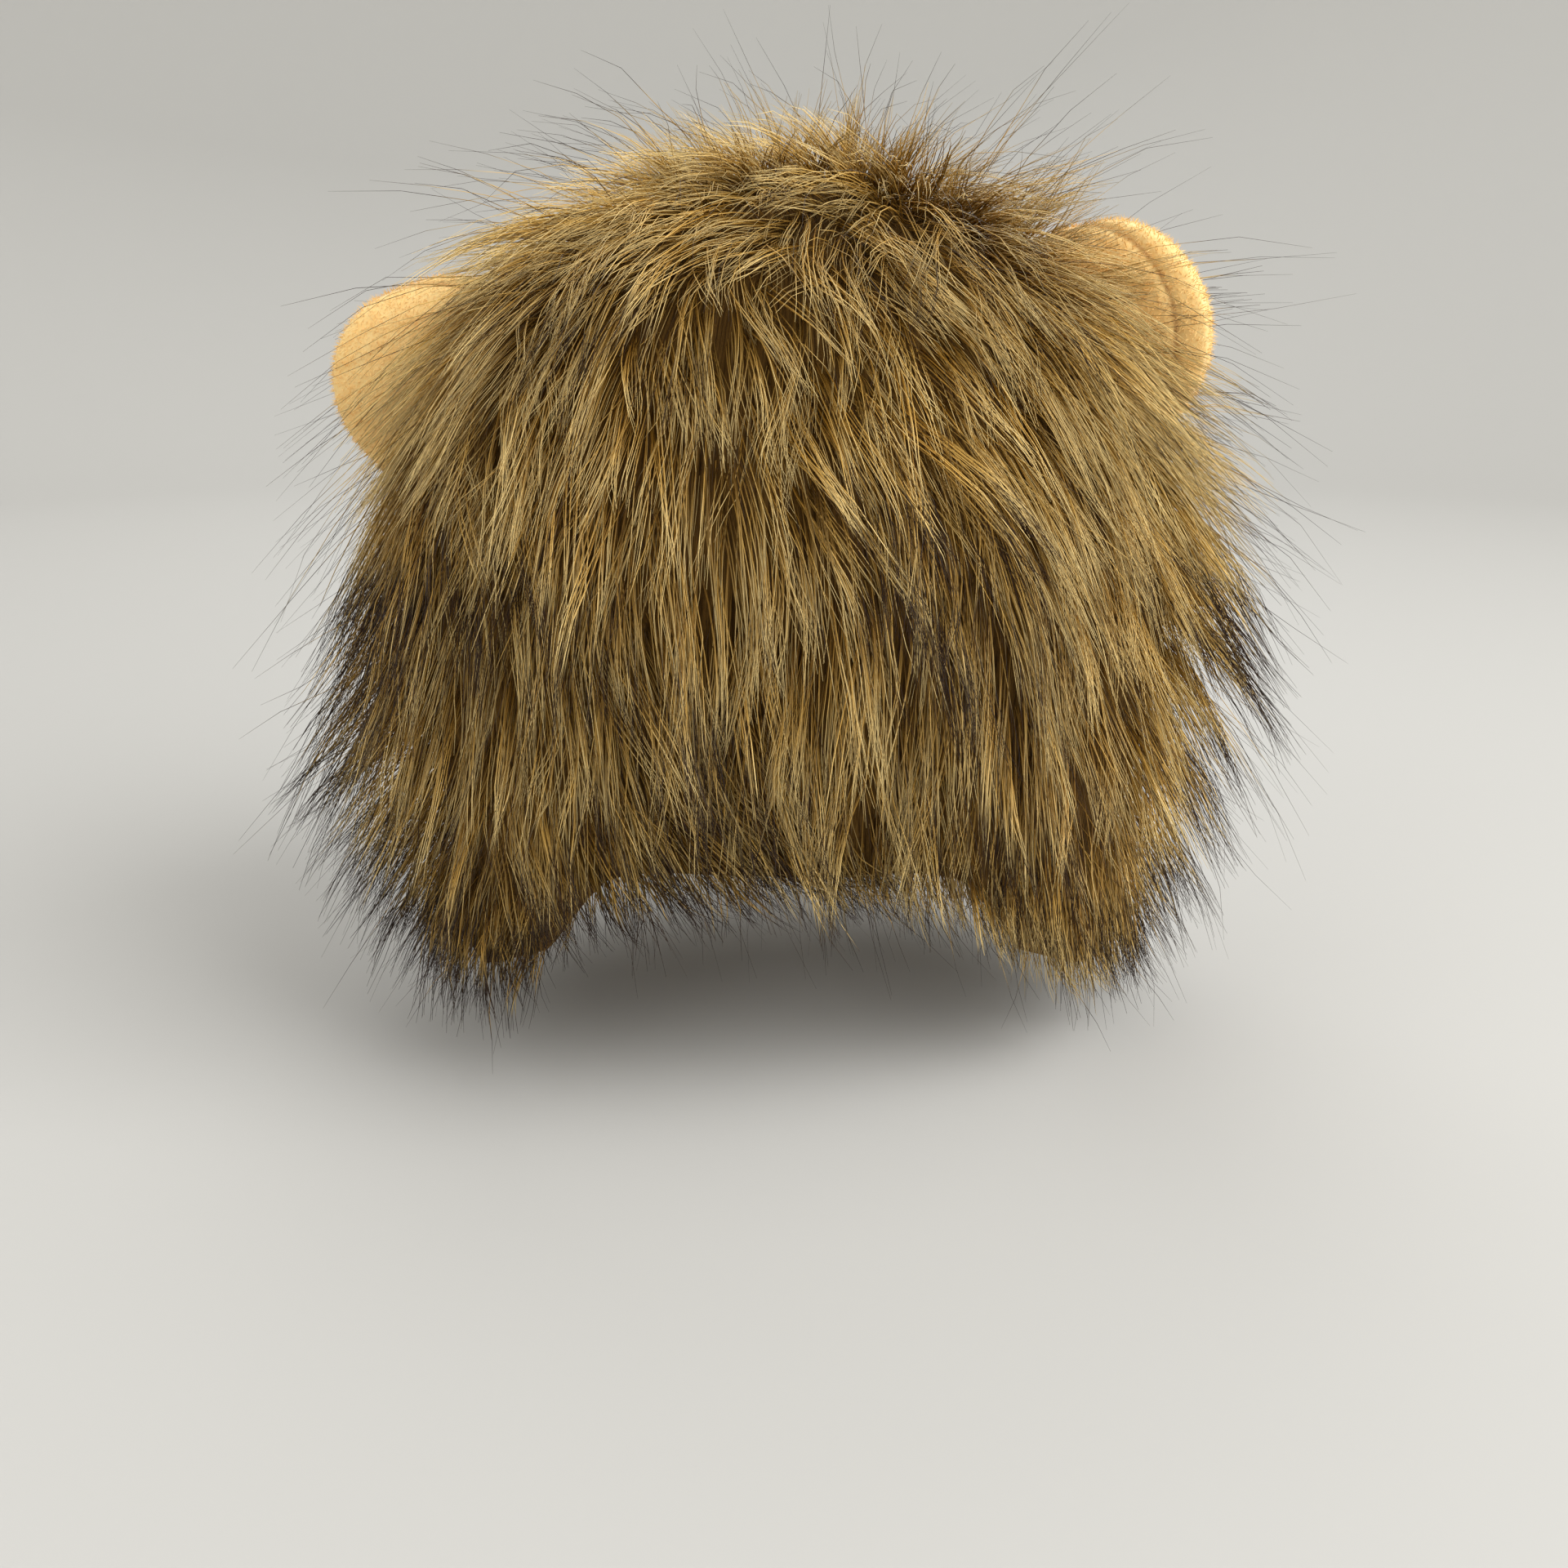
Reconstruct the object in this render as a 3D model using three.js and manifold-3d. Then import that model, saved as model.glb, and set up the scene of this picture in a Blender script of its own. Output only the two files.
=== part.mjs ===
// A lion mane hat for a small pet: a hollow hood of fur cloth with a face opening, a deep mane of
// locks all round it, two padded plush ears and a tab that closes the hood under the chin.
//
// Millimetres, +Z up. The face looks along -Y, so the back of the hat is +Y and the wearer's left is +X.
// The origin is the inside of the crown, where the hood sits on the top of the head.

import * as THREE from 'three';
import { mergeVertices } from 'three/addons/utils/BufferGeometryUtils.js';
import Module from 'manifold-3d';

const wasm = await Module();
wasm.setup();

// Driving dimensions

const WALL = 2; // knitted backing of the fur cloth
const GAP = 0.3; // between pieces that touch

// Inside of the hood at its widest level, as half sizes from the middle of the head.
const HEAD = { side: 62, back: 57, front: 52, crown: 60 };
const NECK_TAPER = 0.07; // how much narrower the hood is at its hem than at its widest level
const HEM_DROP = { back: 110, side: 137, front: 133 }; // from the crown down to the hem
const NAPE = { from: 0.5, to: 0.97 }; // cosines of the azimuths between which the hem climbs to the nape

// The oval that the face looks out of.
const FACE = { halfWidth: 43, halfHeight: 44, drop: 66 };
const BEGINS = HEAD.front / 4; // how far forward of the middle the openings in the front begin
const SPACE = { depth: HEAD.front / 2, fall: 1.3 }; // the head's space, kept clear of fur below the hem too
const CHIN_SLIT = 5; // between the two front ends of the hood, under the chin

// The hook-and-loop tab inside the two front ends.
const TAB = { height: 16, thickness: 1.5, halfAngle: 22, drop: 121 };

// Dense fur under the locks: how far it stands off the backing.
const BULK = { crown: 12, back: 14, side: 22, front: 8, hem: 17 };
const BULK_RISE = { from: 0.26, to: 0.62 }; // the falls between which it gets deeper below the ears
const HEM_FADE = 0.6; // the fall from which it thins towards the hem
const BULK_HEM_DROP = 4.4; // how far the dense fur hangs below the hem
const FACE_FUR_FLARE = 10; // how much wider the fur's face opening is at its outer end

// Rows of locks from the crown to the hem. fall runs from 0 at the crown to 1 at the hem, lift is the angle
// off the surface at the back, sideLift is what the sides stand off by on top of it, and rightLift is what
// the wearer's right stands off by more than the left.
const LOCK_ROWS = [
  { fall: 0.05, count: 5, length: 34, width: 25, lift: 34, sideLift: 0, rightLift: 0 },
  { fall: 0.14, count: 8, length: 39, width: 26, lift: 29, sideLift: 0, rightLift: 2 },
  { fall: 0.25, count: 11, length: 42, width: 28, lift: 25, sideLift: -6, rightLift: 2 },
  { fall: 0.38, count: 13, length: 42, width: 29, lift: 25, sideLift: -4, rightLift: 4 },
  { fall: 0.53, count: 14, length: 43, width: 30, lift: 23, sideLift: 13, rightLift: 6 },
  { fall: 0.69, count: 15, length: 42, width: 29, lift: 20, sideLift: 23, rightLift: 0 },
  { fall: 0.84, count: 15, length: 38, width: 28, lift: 16, sideLift: 25, rightLift: -4 },
  { fall: 0.97, count: 17, length: 30, width: 25, lift: 8, sideLift: 22, rightLift: -4 },
];
// Rings of locks round the face opening: how far beyond its edge they root, and how they stand.
const FACE_RINGS = [
  { beyond: 11, count: 14, length: 28, width: 21, lift: 48, sideLift: 0, rightLift: 0 },
  { beyond: 3, count: 12, length: 19, width: 19, lift: 58, sideLift: 0, rightLift: 0 },
];
const RING_CLEARANCE = 1.6; // how far out the rows keep from the face, as a share of the outer ring's
const WHORL = new THREE.Vector3(-12, -50, 8); // where the fur on the crown parts, above the forehead
const FRONT = { from: 4, to: 36 }; // distances forward of the middle over which the fur turns with the face
const FACE_LIFT = 24; // what the rows stand off by near the face
const LOCK = { thickness: 14, rootDepth: 7, sag: 0.16, vary: 0.16, swing: 14 };
const FRONT_LOCK = { length: 0.8, width: 0.85 }; // how long and wide the front locks are, as shares
const SCATTER = { round: 0.2, fall: 0.02 }; // how far roots stray, as shares of the spacing and of the fall
const HEM_SWEEP = 16; // degrees that the fur at the back of the hem is swept towards the wearer's right
const HEM_BACK_LENGTH = 0.8; // how long the locks at the back of the hem are, as a share of the others
const LOCK_SIDES = 5;
// How wide and thick a lock is along its length, as shares of its full width and thickness.
const LOCK_PROFILE = [
  { along: 0, width: 0.78, thickness: 0.9 },
  { along: 0.34, width: 1, thickness: 1 },
  { along: 0.74, width: 0.66, thickness: 0.58 },
];

// A round padded ear: two panels sewn along a seam. Each ear is turned as the worn hat shows it.
const EAR = { radius: 23.4, stretch: 1.12, backBulge: 5, frontBulge: 7, edge: 0.25, cup: 5 };
const EAR_CLEARANCE = 0.8; // round the ear, where the fur parts for it
const EARS = [
  { name: 'left', side: 1, out: 69, drop: 33, forward: 9, elevation: 22, lean: 6, twist: -4 },
  { name: 'right', side: -1, out: 64, drop: 22, forward: 9, elevation: 33, lean: 30, twist: 10 },
];

// Mesh steps
const AZIMUTH_STEPS = 34;
const CROWN_STEPS = 6;
const NECK_STEPS = 4;
const EAR_STEPS = { round: 20, across: 3 };
const TAB_STEPS = 8;
const WELD = { fine: 1e-4, coarse: 1e-3 }; // corners nearer than this are one

const FINISHES = {
  backing: { color: 0x8a7350, roughness: 0.95 },
  fur: { color: 0x87683c, roughness: 0.85 },
  ear: { color: 0xe0a85e, roughness: 0.9 },
  tab: { color: 0x4a3d2c, roughness: 0.9 },
};

const UP = new THREE.Vector3(0, 0, 1);
const radians = THREE.MathUtils.degToRad;
const lerp = THREE.MathUtils.lerp;
const smooth = (t) => THREE.MathUtils.smoothstep(t, 0, 1);

// A number from -1 to 1 that is the same on each run for the same pair of counters.
function vary(a, b) {
  const s = Math.sin(a * 127.1 + b * 311.7) * 43758.5453;
  return 2 * (s - Math.floor(s)) - 1;
}

// Solids: closed meshes that can be joined and cut

function solid(geometry, weld = WELD.fine) {
  const bare = geometry.clone();
  for (const name of ['normal', 'uv']) bare.deleteAttribute(name);
  const merged = mergeVertices(bare, weld);
  return new wasm.Manifold(
    new wasm.Mesh({
      numProp: 3,
      vertProperties: merged.attributes.position.array,
      triVerts: new Uint32Array(merged.index.array),
    }),
  );
}

function geometryOf(manifold) {
  const { vertProperties, triVerts } = manifold.getMesh();
  const geometry = new THREE.BufferGeometry();
  geometry.setAttribute('position', new THREE.BufferAttribute(new Float32Array(vertProperties), 3));
  geometry.setIndex(new THREE.BufferAttribute(new Uint32Array(triVerts), 1));
  geometry.computeVertexNormals();
  return geometry;
}

function indexed(points, triangles) {
  const geometry = new THREE.BufferGeometry().setFromPoints(points);
  geometry.setIndex(triangles.flat());
  return geometry;
}

// The largest body of a form, without the pockets that locks seal or the crumbs that a cut leaves.
function largestBody(manifold) {
  const largest = (bodies) => bodies.reduce((most, body) => (body.volume() > most.volume() ? body : most));
  const welded = solid(geometryOf(largest(manifold.decompose())), WELD.coarse);
  return largest(welded.decompose());
}

// The hood's form

function hemDrop(azimuth) {
  const c = Math.cos(azimuth);
  if (c < 0) return lerp(HEM_DROP.side, HEM_DROP.front, c * c);
  return lerp(HEM_DROP.side, HEM_DROP.back, smooth((c - NAPE.from) / (NAPE.to - NAPE.from)));
}

// A point `out` millimetres outside the wall's inner face. Azimuth 0 is the back and 90 degrees the wearer's
// left; fall is 0 at the crown, 0.5 at the widest level and 1 at the hem, and goes on below it.
function hoodPoint(azimuth, fall, out) {
  const c = Math.cos(azimuth);
  const depth = c > 0 ? HEAD.back : HEAD.front;
  if (fall < 0.5) {
    const angle = fall * Math.PI;
    return new THREE.Vector3(
      (HEAD.side + out) * Math.sin(angle) * Math.sin(azimuth),
      (depth + out) * Math.sin(angle) * c,
      (HEAD.crown + out) * Math.cos(angle) - HEAD.crown,
    );
  }
  const t = 2 * fall - 1;
  const spread = 1 - NECK_TAPER * smooth(Math.min(t, 1));
  return new THREE.Vector3(
    (HEAD.side * spread + out) * Math.sin(azimuth),
    (depth * spread + out) * c,
    -lerp(HEAD.crown, hemDrop(azimuth), t),
  );
}

function hoodNormal(azimuth, fall) {
  const step = 0.01;
  const at = Math.max(fall, 2 * step);
  const round = hoodPoint(azimuth + step, at, 0).sub(hoodPoint(azimuth - step, at, 0));
  const down = hoodPoint(azimuth, at + step, 0).sub(hoodPoint(azimuth, at - step, 0));
  return round.cross(down).normalize();
}

// A closed wall round the crown, down to the fall `lowest`: outer and inner say how far out its faces lie.
function hoodWall(outer, inner, lowest = 1) {
  const falls = [];
  for (let i = 1; i <= CROWN_STEPS; i++) falls.push((0.5 * i) / CROWN_STEPS);
  for (let i = 1; i <= NECK_STEPS; i++) falls.push(0.5 + (0.5 * i) / NECK_STEPS);
  if (lowest > 1) falls.push(lowest);
  const points = [hoodPoint(0, 0, outer(0, 0)), hoodPoint(0, 0, inner(0, 0))];
  const ring = (face, fall) =>
    Array.from({ length: AZIMUTH_STEPS }, (_, k) => {
      const azimuth = (2 * Math.PI * k) / AZIMUTH_STEPS;
      return points.push(hoodPoint(azimuth, fall, face(azimuth, fall))) - 1;
    });
  const rings = (face) => falls.map((fall) => ring(face, fall));
  const outside = rings(outer);
  const inside = rings(inner);
  const triangles = [];
  const quad = (a, b, c, d) => triangles.push([a, b, c], [a, c, d]);
  for (let k = 0; k < AZIMUTH_STEPS; k++) {
    const n = (k + 1) % AZIMUTH_STEPS;
    triangles.push([0, outside[0][n], outside[0][k]], [1, inside[0][k], inside[0][n]]);
    for (let r = 1; r < falls.length; r++) {
      quad(outside[r - 1][k], outside[r - 1][n], outside[r][n], outside[r][k]);
      quad(inside[r - 1][k], inside[r][k], inside[r][n], inside[r - 1][n]);
    }
    quad(outside.at(-1)[k], outside.at(-1)[n], inside.at(-1)[n], inside.at(-1)[k]);
  }
  return solid(indexed(points, triangles));
}

// A solid oval that runs forward from the middle of the head, flaring by `flare` at its front end.
function faceOval(grow, flare) {
  const length = 2 * HEAD.front + BULK.front;
  const back = new THREE.Vector2(FACE.halfWidth + grow, FACE.halfHeight + grow);
  const oval = new THREE.CylinderGeometry(1, 1, length, AZIMUTH_STEPS, 1);
  const place = oval.attributes.position;
  for (let i = 0; i < place.count; i++) {
    const wider = flare * smooth((place.getY(i) + length / 2) / length);
    place.setX(i, place.getX(i) * (back.x + wider));
    place.setZ(i, place.getZ(i) * (back.y + wider));
  }
  oval.rotateZ(Math.PI);
  oval.translate(0, -length / 2 - BEGINS, -FACE.drop);
  return solid(oval);
}

function chinSlit() {
  const depth = 2 * HEAD.front;
  const slit = new THREE.BoxGeometry(CHIN_SLIT, depth, HEAD.crown + FACE.drop);
  slit.translate(0, -depth / 2 - BEGINS, -FACE.drop - (HEAD.crown + FACE.drop) / 2);
  return solid(slit);
}

function hood() {
  const wall = hoodWall(
    () => WALL,
    () => 0,
  );
  return wall.subtract(faceOval(0, 0)).subtract(chinSlit());
}

// The tab lies against the inside of the hood's front, across the slit.
function chinTab() {
  const fallAt = (drop) => 0.5 + (0.5 * (drop - HEAD.crown)) / (HEM_DROP.front - HEAD.crown);
  const points = [];
  const triangles = [];
  for (let i = 0; i <= TAB_STEPS; i++) {
    const azimuth = Math.PI + radians(lerp(-TAB.halfAngle, TAB.halfAngle, i / TAB_STEPS));
    for (const drop of [TAB.drop - TAB.height / 2, TAB.drop + TAB.height / 2])
      for (const out of [-GAP, -GAP - TAB.thickness]) points.push(hoodPoint(azimuth, fallAt(drop), out));
  }
  const corners = [0, 1, 3, 2];
  const quad = (a, b, c, d) => triangles.push([a, b, c], [a, c, d]);
  for (let i = 0; i < TAB_STEPS; i++)
    for (let k = 0; k < corners.length; k++) {
      const [a, b] = [corners[k], corners[(k + 1) % corners.length]];
      quad(4 * i + a, 4 * i + b, 4 * i + 4 + b, 4 * i + 4 + a);
    }
  quad(2, 3, 1, 0);
  const last = 4 * TAB_STEPS;
  quad(last, last + 1, last + 3, last + 2);
  return solid(indexed(points, triangles));
}

// The ears

// The edge of the ear at an angle round it from the middle of its base.
function earOutline(angle) {
  return new THREE.Vector2(Math.sin(angle), -Math.cos(angle) * EAR.stretch).multiplyScalar(EAR.radius);
}

// A crowned form between two heights over the seam, one panel or both, in the ear's own frame: X is its
// width, Y its back and Z the way it points. Its edge bends forward by the cup.
function earForm(back, front, grow) {
  const points = [];
  const triangles = [];
  const { round, across } = EAR_STEPS;
  const cupped = (flat) => -EAR.cup * (flat.x / EAR.radius) ** 2;
  const layer = (height) => {
    const rings = [];
    for (let j = 1; j <= across; j++) {
      const share = j / across;
      rings.push(
        Array.from({ length: round }, (_, k) => {
          const flat = earOutline((2 * Math.PI * k) / round).multiplyScalar(share * (1 + grow / EAR.radius));
          const crown = height * lerp(EAR.edge, 1, Math.sqrt(1 - share * share));
          return points.push(new THREE.Vector3(flat.x, crown + cupped(flat), flat.y)) - 1;
        }),
      );
    }
    return { middle: points.push(new THREE.Vector3(0, height, 0)) - 1, rings };
  };
  const top = layer(back);
  const bottom = layer(front);
  const quad = (a, b, c, d) => triangles.push([a, b, c], [a, c, d]);
  for (let k = 0; k < round; k++) {
    const n = (k + 1) % round;
    triangles.push([top.middle, top.rings[0][n], top.rings[0][k]]);
    triangles.push([bottom.middle, bottom.rings[0][k], bottom.rings[0][n]]);
    for (let j = 1; j < across; j++) {
      quad(top.rings[j - 1][k], top.rings[j - 1][n], top.rings[j][n], top.rings[j][k]);
      quad(bottom.rings[j - 1][k], bottom.rings[j][k], bottom.rings[j][n], bottom.rings[j - 1][n]);
    }
    quad(top.rings.at(-1)[k], top.rings.at(-1)[n], bottom.rings.at(-1)[n], bottom.rings.at(-1)[k]);
  }
  return indexed(points, triangles);
}

function earPlace(ear) {
  const turn = new THREE.Matrix4()
    .makeRotationY(ear.side * radians(90 - ear.elevation))
    .multiply(new THREE.Matrix4().makeRotationX(radians(-ear.lean)))
    .multiply(new THREE.Matrix4().makeRotationZ(radians(ear.side * ear.twist)));
  return new THREE.Matrix4().makeTranslation(ear.side * ear.out, -ear.forward, -ear.drop).multiply(turn);
}

// A thick form from just outside the hood inwards, and on below its hem, which trims the ears and the fur.
function hoodSpace() {
  return hoodWall(
    () => WALL + GAP,
    () => -SPACE.depth,
    SPACE.fall,
  );
}

function earPanel(ear, back, front, grow = 0) {
  return solid(earForm(back, front, grow).applyMatrix4(earPlace(ear)));
}

// The mane

function bulk(azimuth, fall) {
  const c = Math.cos(azimuth);
  const level = lerp(BULK.side, c > 0 ? BULK.back : BULK.front, c * c);
  const rise = smooth((fall - BULK_RISE.from) / (BULK_RISE.to - BULK_RISE.from));
  const fromCrown = lerp(BULK.crown, level, rise);
  return lerp(fromCrown, Math.min(BULK.hem, fromCrown), smooth((fall - HEM_FADE) / (1 - HEM_FADE)));
}

function denseFur() {
  const hang = BULK_HEM_DROP / (HEM_DROP.side - HEAD.crown) / 2;
  return hoodWall(
    (azimuth, fall) => WALL + GAP + bulk(azimuth, fall),
    () => -SPACE.depth / 2,
    1 + hang,
  );
}

// How near a point is to the front of the hat, from 0 at the sides to 1 at the face edge.
function nearFace(point) {
  return smooth((-point.y - FRONT.from) / (FRONT.to - FRONT.from));
}

// The way the fur is combed: back and down from the crown, and away from the face at the front.
function combing(point, normal) {
  const fromCrown = point.clone().sub(WHORL).normalize();
  const fromFace = point.clone().sub(new THREE.Vector3(0, -HEAD.front, -FACE.drop)).normalize();
  const way = fromCrown.lerp(fromFace, nearFace(point));
  return way.addScaledVector(normal, -way.dot(normal)).normalize();
}

function lockGeometry(root, normal, way, size) {
  const points = [];
  const triangles = [];
  const place = root.clone();
  const heading = way.clone().multiplyScalar(Math.cos(size.lift));
  heading.addScaledVector(normal, Math.sin(size.lift));
  let gone = 0;
  const advance = (along) => {
    place.addScaledVector(heading, (along - gone) * size.length);
    heading.addScaledVector(UP, -LOCK.sag).normalize();
    gone = along;
  };
  for (const row of LOCK_PROFILE) {
    advance(row.along);
    const across = new THREE.Vector3().crossVectors(heading, normal).normalize();
    const thick = new THREE.Vector3().crossVectors(across, heading);
    for (let k = 0; k < LOCK_SIDES; k++) {
      const angle = (2 * Math.PI * k) / LOCK_SIDES;
      points.push(
        place
          .clone()
          .addScaledVector(across, (Math.cos(angle) * row.width * size.width) / 2)
          .addScaledVector(thick, (Math.sin(angle) * row.thickness * LOCK.thickness) / 2),
      );
    }
  }
  advance(1);
  points.push(place.clone());
  const tip = points.length - 1;
  for (let k = 0; k < LOCK_SIDES; k++) {
    const n = (k + 1) % LOCK_SIDES;
    for (let r = 0; r < LOCK_PROFILE.length - 1; r++) {
      const [a, b] = [r * LOCK_SIDES, (r + 1) * LOCK_SIDES];
      triangles.push([a + k, b + n, a + n], [a + k, b + k, b + n]);
    }
    triangles.push([tip - LOCK_SIDES + k, tip, tip - LOCK_SIDES + n]);
    if (k > 0 && k < LOCK_SIDES - 1) triangles.push([0, k, k + 1]);
  }
  return indexed(points, triangles);
}

// Whether a point lies inside the ring of locks round the face.
function nearFaceOval(point) {
  const beyond = RING_CLEARANCE * FACE_RINGS[0].beyond;
  const across = point.x / (FACE.halfWidth + beyond);
  const up = (point.z + FACE.drop) / (FACE.halfHeight + beyond);
  return point.y < -BEGINS && across * across + up * up < 1;
}

// Where the front of the hood lies at a height and a distance from the middle.
function frontPlace(x, z) {
  const low = z < -HEAD.crown;
  const fall = low
    ? 0.5 + (0.5 * (-z - HEAD.crown)) / (HEM_DROP.front - HEAD.crown)
    : Math.acos((z + HEAD.crown) / HEAD.crown) / Math.PI;
  const half = hoodPoint(Math.PI / 2, fall, 0).x;
  return { azimuth: Math.PI - Math.asin(x / half), fall };
}

// Each lock's root, by rows from the crown to the hem and then round the face.
function lockPlaces() {
  const places = [];
  LOCK_ROWS.forEach((row, r) => {
    for (let k = 0; k < row.count; k++) {
      const azimuth = (2 * Math.PI * (k + (r % 2) / 2 + SCATTER.round * vary(r, k))) / row.count;
      const fall = row.fall + SCATTER.fall * vary(k, r + 7);
      if (!nearFaceOval(hoodPoint(azimuth, fall, WALL))) places.push({ azimuth, fall, row, onRing: false });
    }
  });
  FACE_RINGS.forEach((row, r) => {
    for (let k = 0; k < row.count; k++) {
      const angle = (2 * Math.PI * (k + (r + 1) / 2)) / row.count - Math.PI / 2;
      const place = frontPlace(
        (FACE.halfWidth + row.beyond) * Math.cos(angle),
        (FACE.halfHeight + row.beyond) * Math.sin(angle) - FACE.drop,
      );
      places.push({ ...place, row, onRing: true });
    }
  });
  return places;
}

function locks() {
  return lockPlaces().map(({ azimuth, fall, row, onRing }, i) => {
    const surface = hoodPoint(azimuth, fall, WALL + GAP);
    const normal = hoodNormal(azimuth, fall);
    const root = surface.clone().addScaledVector(normal, Math.max(bulk(azimuth, fall) - LOCK.rootDepth, 1));
    const front = onRing ? 0 : nearFace(surface);
    const sideways = Math.sin(azimuth) * (1 - nearFace(surface));
    const atNape = Math.max(Math.cos(azimuth), 0) * smooth(2 * fall - 1);
    const swing = LOCK.swing * vary(i, 11) + HEM_SWEEP * atNape;
    const standing = row.lift + row.sideLift * sideways ** 2 - row.rightLift * sideways + FACE_LIFT * front;
    const long = row.length * lerp(1, FRONT_LOCK.length, front) * lerp(1, HEM_BACK_LENGTH, atNape);
    const size = {
      length: long * (1 + LOCK.vary * vary(i, 3)),
      width: row.width * lerp(1, FRONT_LOCK.width, front) * (1 + LOCK.vary * vary(i, 5)),
      lift: radians(standing * (1 + LOCK.vary * vary(i, 7))),
    };
    const way = combing(surface, normal).applyAxisAngle(normal, radians(swing));
    return solid(lockGeometry(root, normal, way, size));
  });
}

function mane(earSpaces) {
  const fur = locks().reduce((whole, lock) => whole.add(lock), denseFur());
  const cuts = [hoodSpace(), faceOval(1, FACE_FUR_FLARE), chinSlit(), ...earSpaces];
  return largestBody(cuts.reduce((rest, cut) => rest.subtract(cut), fur));
}

// The assembly

const hat = new THREE.Group();

function addPiece(name, form, finish) {
  const material = new THREE.MeshStandardMaterial({ ...finish, metalness: 0 });
  const mesh = new THREE.Mesh(geometryOf(form), material);
  mesh.name = name;
  hat.add(mesh);
}

addPiece('hood', hood(), FINISHES.backing);
addPiece('chin_tab', chinTab(), FINISHES.tab);

const seat = hoodSpace();
const earSpaces = [];
for (const ear of EARS) {
  const panels = {
    back: earPanel(ear, EAR.backBulge, GAP / 2),
    front: earPanel(ear, -GAP / 2, -EAR.frontBulge),
  };
  for (const [face, panel] of Object.entries(panels))
    addPiece(`ear_${ear.name}_${face}`, panel.subtract(seat), FINISHES.ear);
  const [behind, before] = [EAR.backBulge + EAR_CLEARANCE, -EAR.frontBulge - EAR_CLEARANCE];
  earSpaces.push(earPanel(ear, behind, before, EAR_CLEARANCE));
}
addPiece('mane', mane(earSpaces), FINISHES.fur);

export default hat;
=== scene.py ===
"""Looks of a lion mane hat for a small pet: cloth hood, fur strand by strand, plush ears and chin tab."""

import logging
import math
from dataclasses import dataclass, field
from enum import Enum
from functools import partial
from typing import Any, Callable, Mapping, Optional, Sequence

import bmesh
import bpy
import numpy as np
from mathutils import Matrix, Vector


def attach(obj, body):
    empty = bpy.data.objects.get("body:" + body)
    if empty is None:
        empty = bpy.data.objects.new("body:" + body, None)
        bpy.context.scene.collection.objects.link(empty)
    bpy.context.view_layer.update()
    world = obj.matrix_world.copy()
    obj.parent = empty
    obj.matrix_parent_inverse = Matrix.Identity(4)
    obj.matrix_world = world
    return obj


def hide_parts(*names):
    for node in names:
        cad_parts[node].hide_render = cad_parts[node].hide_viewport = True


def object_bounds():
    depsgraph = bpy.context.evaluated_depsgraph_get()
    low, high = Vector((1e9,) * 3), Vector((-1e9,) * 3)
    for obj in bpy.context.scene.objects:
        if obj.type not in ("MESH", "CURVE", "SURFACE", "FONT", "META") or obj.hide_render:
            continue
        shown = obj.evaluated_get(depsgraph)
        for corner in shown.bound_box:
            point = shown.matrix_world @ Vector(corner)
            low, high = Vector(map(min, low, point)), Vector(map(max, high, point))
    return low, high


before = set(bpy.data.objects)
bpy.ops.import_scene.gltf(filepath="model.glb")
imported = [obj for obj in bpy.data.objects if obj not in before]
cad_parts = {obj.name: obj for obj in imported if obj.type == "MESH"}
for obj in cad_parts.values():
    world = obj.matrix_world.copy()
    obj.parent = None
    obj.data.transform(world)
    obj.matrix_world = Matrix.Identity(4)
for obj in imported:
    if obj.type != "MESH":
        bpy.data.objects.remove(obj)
CAD_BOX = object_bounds()

LOG = logging.getLogger("lion_mane_hat")
BODY = "root"
BAKE_MAP = "OFBake"
CLOTH_MAP = "cloth"
MM = 0.001
EAR_SEED = 21
SHADER = "Principled BSDF"
MATH = "ShaderNodeMath"
VECTOR_MATH = "ShaderNodeVectorMath"
MAP_RANGE = "ShaderNodeMapRange"
MIX = "ShaderNodeMix"
RANDOM = "FunctionNodeRandomValue"
CAPTURE = "GeometryNodeCaptureAttribute"
NOISE = "ShaderNodeTexNoise"
SEPARATE = "ShaderNodeSeparateXYZ"
COMBINE = "ShaderNodeCombineXYZ"
REALIZE = "GeometryNodeRealizeInstances"
SET_MATERIAL = "GeometryNodeSetMaterial"
POSITION = "GeometryNodeInputPosition"
# Where an ear's back and front panels lie on its map, and their half width and half height there
PANEL_MIDDLES = (0.27, 0.73)
PANEL_LEVEL = 0.5
PANEL_HALF = (0.22, 0.46)


class Slot(Enum):
    """The record's material slots."""

    BACKING = "backing"
    FUR = "fur"
    EAR_PLUSH = "ear_plush"
    TAB_TAPE = "tab_tape"


class Region(Enum):
    """The parts of the mane that are pieces of their own."""

    CROWN = "crown"
    BACK = "back"
    LEFT = "left"
    RIGHT = "right"
    HEM = "hem"
    FRONT = "front"


def linear(code: int) -> tuple[float, ...]:
    """Turns an sRGB hex colour, 0xRRGGBB, to linear red, green, blue and alpha."""
    parts = [((code >> shift) & 255) / 255 for shift in (16, 8, 0)]
    return (*(p / 12.92 if p <= 0.04045 else ((p + 0.055) / 1.055) ** 2.4 for p in parts), 1.0)


def add_node(tree: bpy.types.NodeTree, kind: str, inputs: Optional[Mapping] = None, **settings: Any) -> Any:
    """Adds a node with its settings, its values and its links.

    Args:
        tree: The node tree.
        kind: The node's type.
        inputs: For each input's name or number, a value, a socket or a node whose first output is taken.
        settings: The node's own properties.

    Returns:
        The node.
    """
    node = tree.nodes.new(kind)
    for name, value in settings.items():
        setattr(node, name, value)
    for key, value in (inputs or {}).items():
        if isinstance(value, bpy.types.Node):
            value = value.outputs[0]
        if isinstance(value, bpy.types.NodeSocket):
            tree.links.new(value, node.inputs[key])
        else:
            node.inputs[key].default_value = value
    return node


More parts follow.
